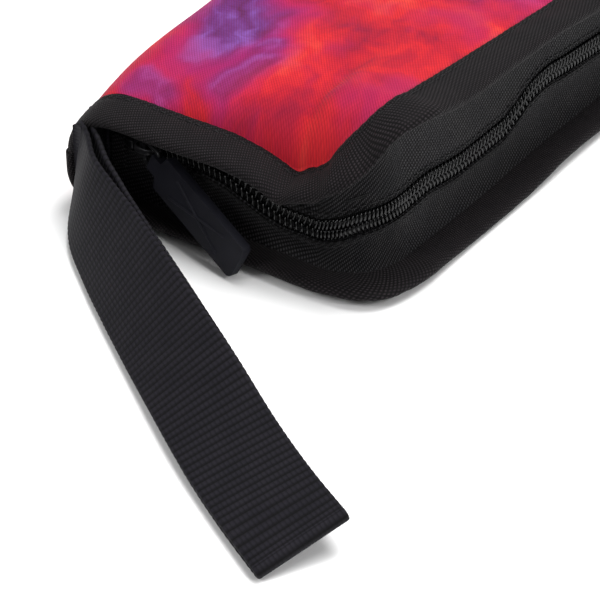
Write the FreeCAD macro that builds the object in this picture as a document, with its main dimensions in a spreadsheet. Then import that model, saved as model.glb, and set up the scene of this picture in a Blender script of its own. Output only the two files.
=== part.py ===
import FreeCAD, Part
import Sketcher
import math
import os

# A slim padded bag for drum sticks that opens like a book.
# X runs across the bag: the spine is at -X and the zip side at +X.
# Y runs along the bag: the wrist loop is sewn in at the -Y end of the spine.
# Z is up, and the bag lies closed on its lower half with its underside at z = 0.
# Lengths are in millimetres and angles in degrees.

doc = FreeCAD.newDocument("stick_bag")

sizes = {
    # the closed bag
    "bag_width": 103.0,
    "bag_length": 450.0,
    "bag_thickness": 46.0,
    "corner_radius": 27.0,
    "flange_reach": 11.0,
    "spine_bend_radius": 8.0,
    "fold_gap": 0.1,
    # the padded skin
    "cover_thickness": 0.8,
    "foam_thickness": 4.0,
    "lining_thickness": 0.5,
    "fill_clearance": 0.4,
    # the gusset and the bound seam
    "gusset_thickness": 0.8,
    "binding_thickness": 0.8,
    "seam_gap": 0.2,
    "spine_clearance": 0.7,
    # the zip
    "zip_height": 21.0,
    "tape_thickness": 0.6,
    "tape_width": 9.0,
    "coil_width": 2.8,
    "coil_thickness": 1.6,
    "coil_gap": 1.0,
    "coil_clearance": 0.3,
    "coil_start": 16.0,
    "stop_length": 2.4,
    "end_tab_start": 8.6,
    "end_tab_length": 4.6,
    "end_tab_thickness": 0.8,
    # the slider, its pull link and the rubber tab
    "slider_place": 22.0,
    "slider_length": 9.0,
    "slider_width": 8.4,
    "slider_plate": 1.2,
    "slider_back_plate": 1.0,
    "slider_play": 0.2,
    "slider_neck_length": 2.0,
    "slider_neck_width": 0.8,
    "slider_lip": 0.7,
    "bridge_length": 6.8,
    "bridge_width": 2.0,
    "bridge_bar": 1.2,
    "bridge_gap": 1.6,
    "link_wire": 1.2,
    "link_reach": 6.5,
    "link_width": 7.6,
    "link_turn": -26.0,
    "link_droop": 5.0,
    "tab_length": 39.0,
    "tab_width": 11.0,
    "tab_thickness": 3.0,
    "tab_neck_length": 4.5,
    "tab_neck_width": 4.8,
    "tab_hole": 1.6,
    "tab_turn": -14.0,
    "tab_droop": 23.0,
    "tab_lean": 80.0,
    # the wrist loop
    "webbing_width": 25.0,
    "webbing_thickness": 1.5,
    "webbing_gap": 0.4,
    "tail_place": 6.2,
    "tail_lift": 0.5,
    "tail_clearance": 0.1,
    "loop_start": 1.0,
    "fold_length": 2.4,
    "bartack_length": 6.0,
    "bartack_width": 18.0,
    "bartack_thickness": 0.4,
    # the pockets inside
    "pocket_cloth": 0.6,
    "pocket_margin": 5.0,
    "stick_pocket_length": 300.0,
    "mesh_pocket_length": 150.0,
    "hem_width": 8.0,
}

sheet = doc.addObject("Spreadsheet::Sheet", "Sizes")
for number, (name, value) in enumerate(sizes.items(), start=1):
    sheet.set("A%d" % number, name)
    sheet.set("B%d" % number, str(value))
    sheet.setAlias("B%d" % number, name)
doc.recompute()

nodes = []


# ---------------------------------------------------------------- helpers

def total(names):
    """The sum of several named sizes; a leading minus takes one away."""
    result = 0.0
    for name in names:
        sign = -1.0 if name.startswith("-") else 1.0
        result += sign * sizes[name.lstrip("-")]
    return result


def words(names):
    """The same sum, as an expression on the sheet."""
    text = "0 mm"
    for name in names:
        sign = " - " if name.startswith("-") else " + "
        text += sign + "Sizes." + name.lstrip("-") + " * 1 mm"
    return text


def bind(item, prop, *names):
    item.setExpression(prop, words(names))


def new_body(label):
    body = doc.addObject("PartDesign::Body", label)
    body.Label = label
    nodes.append(body)
    return body


def new_sketch(body, role, name, level=()):
    """A sketch on one of the body's own planes, raised by the sum of some sizes."""
    sketch = body.newObject("Sketcher::SketchObject", name)
    for feature in body.Origin.OriginFeatures:
        if feature.Role == role:
            sketch.AttachmentSupport = (feature, [""])
    sketch.MapMode = "FlatFace"
    lift = FreeCAD.Vector(0, 0, total(level))
    sketch.AttachmentOffset = FreeCAD.Placement(lift, FreeCAD.Rotation())
    if level:
        bind(sketch, "AttachmentOffset.Base.z", *level)
    return sketch


def rounded_outline(sketch, inset, start):
    """The bag's plan: square at the spine and rounded at the two zip-side corners.

    inset is how far it lies inside the bound edge, start how far from the spine it begins.
    """
    left = -sizes["bag_width"] / 2 + total(start)
    right = sizes["bag_width"] / 2 - total(inset)
    rear = sizes["bag_length"] / 2 - total(inset)
    radius = sizes["corner_radius"] - total(inset)
    z_axis = FreeCAD.Vector(0, 0, 1)
    near_centre = FreeCAD.Vector(right - radius, -rear + radius, 0)
    far_centre = FreeCAD.Vector(right - radius, rear - radius, 0)
    near_circle = Part.Circle(near_centre, z_axis, radius)
    far_circle = Part.Circle(far_centre, z_axis, radius)
    a = FreeCAD.Vector(left, -rear, 0)
    b = FreeCAD.Vector(right - radius, -rear, 0)
    c = FreeCAD.Vector(right, -rear + radius, 0)
    d = FreeCAD.Vector(right, rear - radius, 0)
    e = FreeCAD.Vector(right - radius, rear, 0)
    f = FreeCAD.Vector(left, rear, 0)
    sketch.addGeometry(Part.LineSegment(a, b))
    sketch.addGeometry(Part.ArcOfCircle(near_circle, -math.pi / 2, 0))
    sketch.addGeometry(Part.LineSegment(c, d))
    sketch.addGeometry(Part.ArcOfCircle(far_circle, 0, math.pi / 2))
    sketch.addGeometry(Part.LineSegment(e, f))
    sketch.addGeometry(Part.LineSegment(f, a))
    for first, second in ((0, 1), (1, 2), (2, 3), (3, 4)):
        sketch.addConstraint(Sketcher.Constraint("Tangent", first, 2, second, 1))
    sketch.addConstraint(Sketcher.Constraint("Coincident", 4, 2, 5, 1))
    sketch.addConstraint(Sketcher.Constraint("Coincident", 5, 2, 0, 1))
    sketch.addConstraint(Sketcher.Constraint("Horizontal", 0))
    sketch.addConstraint(Sketcher.Constraint("Horizontal", 4))
    sketch.addConstraint(Sketcher.Constraint("Vertical", 2))
    sketch.addConstraint(Sketcher.Constraint("Equal", 1, 3))
    inner = words(inset)
    tie(sketch, ("Radius", 1), radius, "Sizes.corner_radius * 1 mm - (%s)" % inner)
    tie(sketch, ("DistanceX", -1, 1, 2, 1), right, "Sizes.bag_width / 2 * 1 mm - (%s)" % inner)
    tie(sketch, ("DistanceY", -1, 1, 4, 1), rear, "Sizes.bag_length / 2 * 1 mm - (%s)" % inner)
    tie(sketch, ("DistanceY", 0, 1, -1, 1), rear, "Sizes.bag_length / 2 * 1 mm - (%s)" % inner)
    tie(sketch, ("DistanceX", 5, 2, -1, 1), -left,
        "Sizes.bag_width / 2 * 1 mm - (%s)" % words(start))


def tie(sketch, refs, value, text):
    """Adds one driving dimension and binds it to the sheet."""
    index = sketch.addConstraint(Sketcher.Constraint(*refs, value))
    sketch.setExpression("Constraints[%d]" % index, text)


def bend_sector(sketch, outer, inner):
    """A quarter ring round the spine bend, between two depths below the outer face."""
    reach = sizes["spine_bend_radius"]
    centre = FreeCAD.Vector(-sizes["bag_width"] / 2 + reach, reach, 0)
    z_axis = FreeCAD.Vector(0, 0, 1)
    big = reach - total(outer)
    small = reach - total(inner)
    sketch.addGeometry(Part.ArcOfCircle(Part.Circle(centre, z_axis, big), math.pi, 1.5 * math.pi))
    sketch.addGeometry(Part.ArcOfCircle(Part.Circle(centre, z_axis, small), math.pi, 1.5 * math.pi))
    side = FreeCAD.Vector(-1, 0, 0)
    down = FreeCAD.Vector(0, -1, 0)
    sketch.addGeometry(Part.LineSegment(centre + side * small, centre + side * big))
    sketch.addGeometry(Part.LineSegment(centre + down * big, centre + down * small))
    sketch.addConstraint(Sketcher.Constraint("Coincident", 0, 3, 1, 3))
    sketch.addConstraint(Sketcher.Constraint("Coincident", 1, 1, 2, 1))
    sketch.addConstraint(Sketcher.Constraint("Coincident", 2, 2, 0, 1))
    sketch.addConstraint(Sketcher.Constraint("Coincident", 0, 2, 3, 1))
    sketch.addConstraint(Sketcher.Constraint("Coincident", 3, 2, 1, 2))
    sketch.addConstraint(Sketcher.Constraint("Horizontal", 0, 3, 0, 1))
    sketch.addConstraint(Sketcher.Constraint("Vertical", 0, 3, 0, 2))
    full = "Sizes.spine_bend_radius * 1 mm"
    tie(sketch, ("DistanceX", 0, 3, -1, 1), -centre.x, "Sizes.bag_width / 2 * 1 mm - " + full)
    tie(sketch, ("DistanceY", -1, 1, 0, 3), centre.y, full)
    tie(sketch, ("Radius", 0), big, "%s - (%s)" % (full, words(outer)))
    tie(sketch, ("Radius", 1), small, "%s - (%s)" % (full, words(inner)))


def add_pad(body, sketch, name, *length, both_ways=False, text=None):
    pad = body.newObject("PartDesign::Pad", name)
    pad.Profile = sketch
    pad.SideType = "Symmetric" if both_ways else "One side"
    pad.setExpression("Length", text or words(length))
    body.Tip = pad
    return pad


def add_pocket(body, sketch, name, text=None):
    """A cut that goes the same way to both sides of its sketch."""
    pocket = body.newObject("PartDesign::Pocket", name)
    pocket.Profile = sketch
    pocket.SideType = "Symmetric"
    if text:
        pocket.setExpression("Length", text)
    else:
        pocket.Type = "ThroughAll"
    body.Tip = pocket
    return pocket


def long_way(*inset):
    """The bag's whole length less an inset at each end."""
    return "Sizes.bag_length * 1 mm - 2 * (%s)" % words(inset)


def turn_over(body):
    """Lays a body that was drawn lower side down under the bag's top."""
    over = FreeCAD.Rotation(FreeCAD.Vector(1, 0, 0), 180)
    body.Placement = FreeCAD.Placement(FreeCAD.Vector(0, 0, sizes["bag_thickness"]), over)
    bind(body, "Placement.Base.z", "bag_thickness")


def new_box(label, corner, spans, keep=True):
    """A plain block: corner and spans are three tuples of named sizes, as expressions."""
    box = doc.addObject("Part::Box", label)
    box.Label = label
    for prop, text in zip(("Length", "Width", "Height"), spans):
        box.setExpression(prop, text)
    for axis, text in zip("xyz", corner):
        box.setExpression("Placement.Base." + axis, text)
    if keep:
        nodes.append(box)
    return box


def join(label, pieces):
    fused = doc.addObject("Part::MultiFuse", label)
    fused.Label = label
    fused.Shapes = pieces
    nodes.append(fused)
    return fused


spine_x = "-Sizes.bag_width / 2 * 1 mm"
near_y = "-Sizes.bag_length / 2 * 1 mm"
far_y = "Sizes.bag_length / 2 * 1 mm"
skin = ("cover_thickness", "foam_thickness", "lining_thickness")
wall_in = ("flange_reach", "gusset_thickness")
fill_in = ("flange_reach", "gusset_thickness", "fill_clearance")
seam_low = ("binding_thickness",)
seam_mid = ("binding_thickness", "cover_thickness")
seam_top = ("binding_thickness", "cover_thickness", "gusset_thickness")
seam_all = ("binding_thickness", "cover_thickness", "gusset_thickness", "binding_thickness")
at_bend = ("spine_bend_radius",)
past_spine = ("-spine_bend_radius",)
spine_depth = skin + ("spine_clearance",)


# ---------------------------------------------------------------- one half of the bag

def make_cover(label):
    """The printed outer fabric: the panel, its quarter bend and the edge inside the seam."""
    body = new_body(label)
    edge = new_sketch(body, "XY_Plane", label + "_edge", seam_low)
    rounded_outline(edge, seam_low, at_bend)
    add_pad(body, edge, label + "_edge_pad", "cover_thickness")
    middle = new_sketch(body, "XY_Plane", label + "_middle", seam_low)
    rounded_outline(middle, wall_in, past_spine)
    add_pocket(body, middle, label + "_middle_cut")
    panel = new_sketch(body, "XY_Plane", label + "_panel")
    rounded_outline(panel, ("flange_reach",), at_bend)
    add_pad(body, panel, label + "_panel_pad", "cover_thickness")
    edge_bend = new_sketch(body, "XZ_Plane", label + "_edge_bend")
    bend_sector(edge_bend, seam_low, seam_mid)
    add_pad(body, edge_bend, label + "_edge_bend_pad", both_ways=True,
            text=long_way("binding_thickness"))
    gap_bend = new_sketch(body, "XZ_Plane", label + "_gap_bend")
    bend_sector(gap_bend, seam_low, seam_mid)
    add_pocket(body, gap_bend, label + "_gap_bend_cut", text=long_way(*wall_in))
    panel_bend = new_sketch(body, "XZ_Plane", label + "_panel_bend")
    bend_sector(panel_bend, (), ("cover_thickness",))
    add_pad(body, panel_bend, label + "_panel_bend_pad", both_ways=True,
            text=long_way("flange_reach"))
    return body


def make_fill(label, low, high):
    """A flat layer inside the gusset with its quarter bend, between two depths."""
    body = new_body(label)
    sheet_sketch = new_sketch(body, "XY_Plane", label + "_plan", low)
    rounded_outline(sheet_sketch, fill_in, at_bend)
    add_pad(body, sheet_sketch, label + "_plan_pad", *high[len(low):])
    bend = new_sketch(body, "XZ_Plane", label + "_bend")
    bend_sector(bend, low, high)
    add_pad(body, bend, label + "_bend_pad", both_ways=True, text=long_way(*fill_in))
    return body


def make_binding(label):
    """The folded tape round the seam edge: a deep C in section."""
    body = new_body(label)
    inner = ("flange_reach", "-seam_gap")
    block = new_sketch(body, "XY_Plane", label + "_block")
    rounded_outline(block, (), at_bend)
    add_pad(body, block, label + "_block_pad", *seam_all)
    middle = new_sketch(body, "XY_Plane", label + "_middle")
    rounded_outline(middle, inner, past_spine)
    add_pocket(body, middle, label + "_middle_cut")
    slot = new_sketch(body, "XY_Plane", label + "_slot", seam_mid)
    rounded_outline(slot, seam_low, past_spine)
    slot_height = "2 * Sizes.cover_thickness * 1 mm"
    add_pocket(body, slot, label + "_slot_cut", text=slot_height)
    bend = new_sketch(body, "XZ_Plane", label + "_bend")
    bend_sector(bend, (), seam_all)
    add_pad(body, bend, label + "_bend_pad", both_ways=True, text=long_way())
    bend_gap = new_sketch(body, "XZ_Plane", label + "_bend_gap")
    bend_sector(bend_gap, (), seam_all)
    add_pocket(body, bend_gap, label + "_bend_gap_cut", text=long_way(*inner))
    bend_slot = new_sketch(body, "XZ_Plane", label + "_bend_slot")
    bend_sector(bend_slot, seam_low, seam_top)
    add_pocket(body, bend_slot, label + "_bend_slot_cut", text=long_way("binding_thickness"))
    return body


def wall_end(sketch, top_text, top_value):
    """The stretch of gusset wall beside the spine, which stands on the bend."""
    reach = sizes["spine_bend_radius"]
    left = -sizes["bag_width"] / 2 + total(spine_depth)
    bend_x = -sizes["bag_width"] / 2 + reach
    radius = reach - total(seam_mid)
    foot = reach - math.sqrt(radius ** 2 - (bend_x - left) ** 2)
    centre = FreeCAD.Vector(bend_x, reach, 0)
    circle = Part.Circle(centre, FreeCAD.Vector(0, 0, 1), radius)
    start = math.atan2(foot - reach, left - bend_x) + 2 * math.pi
    sketch.addGeometry(Part.ArcOfCircle(circle, start, 1.5 * math.pi))
    low = FreeCAD.Vector(bend_x, reach - radius, 0)
    right_top = FreeCAD.Vector(bend_x, top_value, 0)
    left_top = FreeCAD.Vector(left, top_value, 0)
    left_foot = FreeCAD.Vector(left, foot, 0)
    sketch.addGeometry(Part.LineSegment(low, right_top))
    sketch.addGeometry(Part.LineSegment(right_top, left_top))
    sketch.addGeometry(Part.LineSegment(left_top, left_foot))
    for first, second in ((0, 1), (1, 2), (2, 3)):
        sketch.addConstraint(Sketcher.Constraint("Coincident", first, 2, second, 1))
    sketch.addConstraint(Sketcher.Constraint("Coincident", 3, 2, 0, 1))
    sketch.addConstraint(Sketcher.Constraint("Vertical", 1))
    sketch.addConstraint(Sketcher.Constraint("Horizontal", 2))
    sketch.addConstraint(Sketcher.Constraint("Vertical", 3))
    sketch.addConstraint(Sketcher.Constraint("Vertical", 0, 3, 0, 2))
    full = "Sizes.spine_bend_radius * 1 mm"
    tie(sketch, ("DistanceX", 0, 3, -1, 1), -bend_x, "Sizes.bag_width / 2 * 1 mm - " + full)
    tie(sketch, ("DistanceY", -1, 1, 0, 3), reach, full)
    tie(sketch, ("Radius", 0), radius, "%s - (%s)" % (full, words(seam_mid)))
    tie(sketch, ("DistanceX", 2, 2, -1, 1), -left,
        "Sizes.bag_width / 2 * 1 mm - (%s)" % words(spine_depth))
    tie(sketch, ("DistanceY", -1, 1, 2, 2), top_value, top_text)


def make_gusset(label, zip_text, zip_value):
    """The recessed side wall with the seam allowance it is sewn in by."""
    body = new_body(label)
    allowance = new_sketch(body, "XY_Plane", label + "_allowance", seam_mid)
    rounded_outline(allowance, seam_low, at_bend)
    add_pad(body, allowance, label + "_allowance_pad", "gusset_thickness")
    wall = new_sketch(body, "XY_Plane", label + "_wall", seam_mid)
    rounded_outline(wall, ("flange_reach",), at_bend)
    opening = "Sizes.coil_gap / 2 + Sizes.coil_width + Sizes.coil_clearance"
    top_text = "%s - (%s) * 1 mm" % (zip_text, opening)
    add_pad(body, wall, label + "_wall_pad", text="%s - (%s)" % (top_text, words(seam_mid)))
    inside = new_sketch(body, "XY_Plane", label + "_inside", seam_mid)
    rounded_outline(inside, wall_in, past_spine)
    add_pocket(body, inside, label + "_inside_cut")
    bend = new_sketch(body, "XZ_Plane", label + "_bend")
    bend_sector(bend, seam_mid, seam_top)
    add_pad(body, bend, label + "_bend_pad", both_ways=True, text=long_way("binding_thickness"))
    bend_gap = new_sketch(body, "XZ_Plane", label + "_bend_gap")
    bend_sector(bend_gap, seam_mid, seam_top)
    add_pocket(body, bend_gap, label + "_bend_gap_cut", text=long_way(*wall_in))
    top_value = zip_value - sizes["coil_gap"] / 2 - sizes["coil_width"] - sizes["coil_clearance"]
    end = new_sketch(body, "XZ_Plane", label + "_end")
    wall_end(end, top_text, top_value)
    add_pad(body, end, label + "_end_pad", both_ways=True, text=long_way("flange_reach"))
    end_gap = new_sketch(body, "XZ_Plane", label + "_end_gap")
    wall_end(end_gap, top_text, top_value)
    add_pocket(body, end_gap, label + "_end_gap_cut", text=long_way(*wall_in))
    return body


def make_rail(label, zip_text, zip_value, start, outer, inner, depth):
    """A strip that follows the gusset round three sides, hung below the zip's middle."""
    body = new_body(label)
    level = zip_value - sizes["coil_gap"] / 2 - sizes[depth]
    level_text = "%s - (Sizes.coil_gap / 2 + Sizes.%s) * 1 mm" % (zip_text, depth)
    for role, inset, first in (("outer", outer, start), ("inner", inner, past_spine)):
        sketch = new_sketch(body, "XY_Plane", label + "_" + role)
        lift = FreeCAD.Vector(0, 0, level)
        sketch.AttachmentOffset = FreeCAD.Placement(lift, FreeCAD.Rotation())
        sketch.setExpression("AttachmentOffset.Base.z", level_text)
        rounded_outline(sketch, inset, first)
        if role == "outer":
            add_pad(body, sketch, label + "_pad", depth)
        else:
            add_pocket(body, sketch, label + "_cut")
    return body


def make_half(side, half, zip_text, zip_value):
    """All the layers of one half, drawn lower side down."""
    tape_in = wall_in + ("tape_thickness",)
    coil_out = wall_in + ("-coil_thickness",)
    cloth = ("cover_thickness",)
    foam = ("cover_thickness", "foam_thickness")
    pieces = [
        make_cover(half + "_cover"),
        make_fill(half + "_foam", cloth, foam),
        make_fill(half + "_lining", foam, skin),
        make_binding(side + "_binding"),
        make_gusset(side + "_gusset", zip_text, zip_value),
        make_rail(side + "_zip_tape", zip_text, zip_value, spine_depth, wall_in, tape_in,
                  "tape_width"),
        make_rail(side + "_zip_coil", zip_text, zip_value, ("coil_start",), coil_out, wall_in,
                  "coil_width"),
    ]
    return pieces


zip_low_text = "Sizes.zip_height * 1 mm"
zip_low = sizes["zip_height"]
zip_high_text = "(Sizes.bag_thickness - Sizes.zip_height) * 1 mm"
zip_high = sizes["bag_thickness"] - sizes["zip_height"]
make_half("lower", "bottom", zip_low_text, zip_low)
for piece in make_half("upper", "top", zip_high_text, zip_high):
    turn_over(piece)


# ---------------------------------------------------------------- the spine

spine_foot = "(Sizes.spine_bend_radius + Sizes.fold_gap) * 1 mm"
spine_tall = "(Sizes.bag_thickness - 2 * (Sizes.spine_bend_radius + Sizes.fold_gap)) * 1 mm"
panel_face = new_box("spine_face",
                     (spine_x, near_y + " + Sizes.flange_reach * 1 mm", spine_foot),
                     ("Sizes.cover_thickness * 1 mm", long_way("flange_reach"), spine_tall),
                     keep=False)
panel_tongue = new_box("spine_tongue",
                       (spine_x + " + Sizes.binding_thickness * 1 mm",
                        near_y + " + Sizes.binding_thickness * 1 mm", spine_foot),
                       ("2 * Sizes.cover_thickness * 1 mm", long_way("binding_thickness"),
                        spine_tall),
                       keep=False)
tongue_gap = new_box("spine_tongue_gap",
                     (spine_x + " + Sizes.cover_thickness * 1 mm",
                      near_y + " + (Sizes.flange_reach + Sizes.gusset_thickness) * 1 mm",
                      "0 mm"),
                     ("4 * Sizes.cover_thickness * 1 mm", long_way(*wall_in),
                      "Sizes.bag_thickness * 1 mm"),
                     keep=False)
tongues = doc.addObject("Part::Cut", "spine_tongues")
tongues.Base = panel_tongue
tongues.Tool = tongue_gap
join("spine_panel", [panel_face, tongues])
new_box("spine_foam",
        (spine_x + " + Sizes.cover_thickness * 1 mm", near_y + " + (%s)" % words(fill_in),
         spine_foot),
        ("Sizes.foam_thickness * 1 mm", long_way(*fill_in), spine_tall))
new_box("spine_lining",
        (spine_x + " + (Sizes.cover_thickness + Sizes.foam_thickness) * 1 mm",
         near_y + " + (%s)" % words(fill_in), spine_foot),
        ("Sizes.lining_thickness * 1 mm", long_way(*fill_in), spine_tall))

binding_reach = "(Sizes.flange_reach - Sizes.seam_gap) * 1 mm"
slot_reach = "(Sizes.flange_reach - Sizes.seam_gap) * 1 mm"
for place in ("front", "rear"):
    if place == "front":
        block_y = near_y
        slot_y = near_y + " + Sizes.binding_thickness * 1 mm"
    else:
        block_y = far_y + " - " + binding_reach
        slot_y = block_y + " - Sizes.binding_thickness * 1 mm"
    block = new_box("spine_binding_block_" + place, (spine_x, block_y, spine_foot),
                    (words(seam_all), binding_reach, spine_tall), keep=False)
    slot = new_box("spine_binding_slot_" + place,
                   (spine_x + " + Sizes.binding_thickness * 1 mm", slot_y, "0 mm"),
                   ("2 * Sizes.cover_thickness * 1 mm", slot_reach,
                    "Sizes.bag_thickness * 1 mm"), keep=False)
    folded = doc.addObject("Part::Cut", "spine_binding_" + place)
    folded.Label = "spine_binding_" + place
    folded.Base = block
    folded.Tool = slot
    nodes.append(folded)


# ---------------------------------------------------------------- zip ends and slider

coil_face_in = "(Sizes.flange_reach + Sizes.gusset_thickness - Sizes.coil_thickness) * 1 mm"
coil_low = "(Sizes.zip_height - Sizes.coil_gap / 2 - Sizes.coil_width) * 1 mm"
for place in ("front", "rear"):
    if place == "front":
        stop_y = near_y + " + " + coil_face_in
        tab_y = near_y + " + (Sizes.flange_reach - Sizes.end_tab_thickness) * 1 mm"
    else:
        stop_y = far_y + " - " + coil_face_in + " - Sizes.coil_thickness * 1 mm"
        tab_y = far_y + " - Sizes.flange_reach * 1 mm"
    stop_x = spine_x + " + (Sizes.coil_start - Sizes.stop_length) * 1 mm"
    new_box("zip_stop_" + place, (stop_x, stop_y, coil_low),
            ("Sizes.stop_length * 1 mm", "Sizes.coil_thickness * 1 mm",
             "Sizes.coil_width * 1 mm"))
    new_box("zip_end_tab_" + place,
            (spine_x + " + Sizes.end_tab_start * 1 mm", tab_y,
             "(Sizes.zip_height - Sizes.coil_gap / 2 - Sizes.tape_width) * 1 mm"),
            ("Sizes.end_tab_length * 1 mm", "Sizes.end_tab_thickness * 1 mm",
             "Sizes.tape_width * 1 mm"))

# Depths of the slider's faces, measured in from the bag's near end.
coil_face = sizes["flange_reach"] + sizes["gusset_thickness"] - sizes["coil_thickness"]
plate_in = coil_face_in + " - Sizes.slider_play * 1 mm"
plate_out = plate_in + " - Sizes.slider_plate * 1 mm"
back_in = "(%s + Sizes.slider_play * 1 mm)" % words(wall_in + ("tape_thickness",))
slider_low = "(Sizes.zip_height - Sizes.slider_width / 2) * 1 mm"
slider_x = spine_x + " + (Sizes.slider_place - Sizes.slider_length / 2) * 1 mm"
front_plate = new_box("slider_front_plate", (slider_x, near_y + " + " + plate_out, slider_low),
                      ("Sizes.slider_length * 1 mm", "Sizes.slider_plate * 1 mm",
                       "Sizes.slider_width * 1 mm"), keep=False)
back_plate = new_box("slider_back", (slider_x, near_y + " + " + back_in, slider_low),
                     ("Sizes.slider_length * 1 mm", "Sizes.slider_back_plate * 1 mm",
                      "Sizes.slider_width * 1 mm"), keep=False)
neck = new_box("slider_neck",
               (slider_x, near_y + " + " + plate_out,
                "(Sizes.zip_height - Sizes.slider_neck_width / 2) * 1 mm"),
               ("Sizes.slider_neck_length * 1 mm",
                back_in + " - (" + plate_out + ") + Sizes.slider_back_plate * 1 mm",
                "Sizes.slider_neck_width * 1 mm"), keep=False)
lip = new_box("slider_lower_lip", (slider_x, near_y + " + " + plate_out, slider_low),
              ("Sizes.slider_length * 1 mm",
               "(Sizes.slider_plate + Sizes.slider_lip) * 1 mm",
               "Sizes.slider_lip * 1 mm"), keep=False)
join("slider_body", [front_plate, back_plate, neck, lip])

bridge_x = spine_x + " + (Sizes.slider_place - Sizes.bridge_length / 2) * 1 mm"
bridge_out = plate_out + " - (Sizes.bridge_gap + Sizes.bridge_bar) * 1 mm"
bridge_low = "(Sizes.zip_height - Sizes.bridge_width / 2) * 1 mm"
bridge_block = new_box("bridge_block", (bridge_x, near_y + " + " + bridge_out, bridge_low),
                       ("Sizes.bridge_length * 1 mm",
                        "(Sizes.bridge_gap + Sizes.bridge_bar) * 1 mm",
                        "Sizes.bridge_width * 1 mm"), keep=False)
bridge_hole = new_box("bridge_hole",
                      (bridge_x + " + Sizes.bridge_bar * 1 mm",
                       near_y + " + " + bridge_out + " + Sizes.bridge_bar * 1 mm",
                       bridge_low + " - 1 mm"),
                      ("(Sizes.bridge_length - 2 * Sizes.bridge_bar) * 1 mm",
                       "Sizes.bridge_gap * 1 mm", "(Sizes.bridge_width + 2) * 1 mm"),
                      keep=False)
bridge = doc.addObject("Part::Cut", "slider_bridge")
bridge.Label = "slider_bridge"
bridge.Base = bridge_block
bridge.Tool = bridge_hole
nodes.append(bridge)


# ---------------------------------------------------------------- pull link and tab

# The link's inner bar stands upright under the bridge. Its outer bar runs through the neck
# of the tab, and follows the tab's lean.
bar_depth = (coil_face - sizes["slider_play"] - sizes["slider_plate"]
             - sizes["bridge_gap"] / 2)
link_pivot = FreeCAD.Vector(-sizes["bag_width"] / 2 + sizes["slider_place"],
                            -sizes["bag_length"] / 2 + bar_depth, sizes["zip_height"])
turn = FreeCAD.Rotation(FreeCAD.Vector(0, 0, 1), sizes["tab_turn"])
link_turn = FreeCAD.Rotation(FreeCAD.Vector(0, 0, 1), sizes["link_turn"])
link_dip = FreeCAD.Rotation(FreeCAD.Vector(0, 1, 0), sizes["link_droop"])
tab_dip = FreeCAD.Rotation(FreeCAD.Vector(0, 1, 0), sizes["tab_droop"])
tab_roll = FreeCAD.Rotation(FreeCAD.Vector(1, 0, 0), sizes["tab_lean"])
link_way = link_turn.multiply(link_dip).multVec(FreeCAD.Vector(1, 0, 0))
tab_pose = turn.multiply(tab_dip).multiply(tab_roll)
tab_pivot = link_pivot + link_way * sizes["link_reach"]
tab_across = tab_pose.multVec(FreeCAD.Vector(0, 1, 0))


def wire_bar(name, start, end):
    """A straight round bar of the link, with a ball on its far end."""
    along = end - start
    bar = doc.addObject("Part::Cylinder", name)
    bar.setExpression("Radius", "Sizes.link_wire / 2 * 1 mm")
    bar.Height = along.Length
    bar.Placement = FreeCAD.Placement(start, FreeCAD.Rotation(FreeCAD.Vector(0, 0, 1), along))
    ball = doc.addObject("Part::Sphere", name + "_ball")
    ball.setExpression("Radius", "Sizes.link_wire / 2 * 1 mm")
    ball.Placement = FreeCAD.Placement(end, FreeCAD.Rotation())
    return [bar, ball]


half_bar = sizes["link_width"] / 2
up = FreeCAD.Vector(0, 0, 1)
link_corners = [link_pivot - up * half_bar, link_pivot + up * half_bar,
                tab_pivot + tab_across * half_bar, tab_pivot - tab_across * half_bar]
link_parts = []
for number in range(4):
    link_parts += wire_bar("link_bar_%d" % (number + 1), link_corners[number],
                           link_corners[(number + 1) % 4])
join("pull_link", link_parts)

pull_tab = new_body("pull_tab")
tab_plan = new_sketch(pull_tab, "XY_Plane", "tab_plan")
neck_half = sizes["tab_neck_width"] / 2
wide_half = sizes["tab_width"] / 2
neck_back = -sizes["tab_thickness"] / 2
neck_front = neck_back + sizes["tab_neck_length"]
tip_x = neck_back + sizes["tab_length"]
corners = [(neck_back, -neck_half), (neck_front, -neck_half), (neck_front, -wide_half),
           (tip_x, -wide_half), (tip_x, wide_half), (neck_front, wide_half),
           (neck_front, neck_half), (neck_back, neck_half)]
points = [FreeCAD.Vector(x, y, 0) for x, y in corners]
for number in range(8):
    tab_plan.addGeometry(Part.LineSegment(points[number], points[(number + 1) % 8]))
for number in range(8):
    tab_plan.addConstraint(Sketcher.Constraint("Coincident", number, 2, (number + 1) % 8, 1))
    way = "Horizontal" if number % 2 == 0 else "Vertical"
    tab_plan.addConstraint(Sketcher.Constraint(way, number))
tab_plan.addConstraint(Sketcher.Constraint("Vertical", 1, 1, 5, 2))
tie(tab_plan, ("DistanceX", 0, 1, -1, 1), -neck_back, "Sizes.tab_thickness / 2 * 1 mm")
tie(tab_plan, ("DistanceX", 0, 1, 0, 2), sizes["tab_neck_length"],
    "Sizes.tab_neck_length * 1 mm")
tie(tab_plan, ("DistanceX", 0, 1, 2, 2), sizes["tab_length"], "Sizes.tab_length * 1 mm")
tie(tab_plan, ("DistanceY", 0, 1, -1, 1), neck_half, "Sizes.tab_neck_width / 2 * 1 mm")
tie(tab_plan, ("DistanceY", -1, 1, 6, 2), neck_half, "Sizes.tab_neck_width / 2 * 1 mm")
tie(tab_plan, ("DistanceY", 2, 2, -1, 1), wide_half, "Sizes.tab_width / 2 * 1 mm")
tie(tab_plan, ("DistanceY", -1, 1, 4, 1), wide_half, "Sizes.tab_width / 2 * 1 mm")
add_pad(pull_tab, tab_plan, "tab_pad", "tab_thickness", both_ways=True)
tab_bore = new_sketch(pull_tab, "XZ_Plane", "tab_bore")
bore_circle = Part.Circle(FreeCAD.Vector(0, 0, 0), FreeCAD.Vector(0, 0, 1), sizes["tab_hole"] / 2)
tab_bore.addGeometry(bore_circle)
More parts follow.
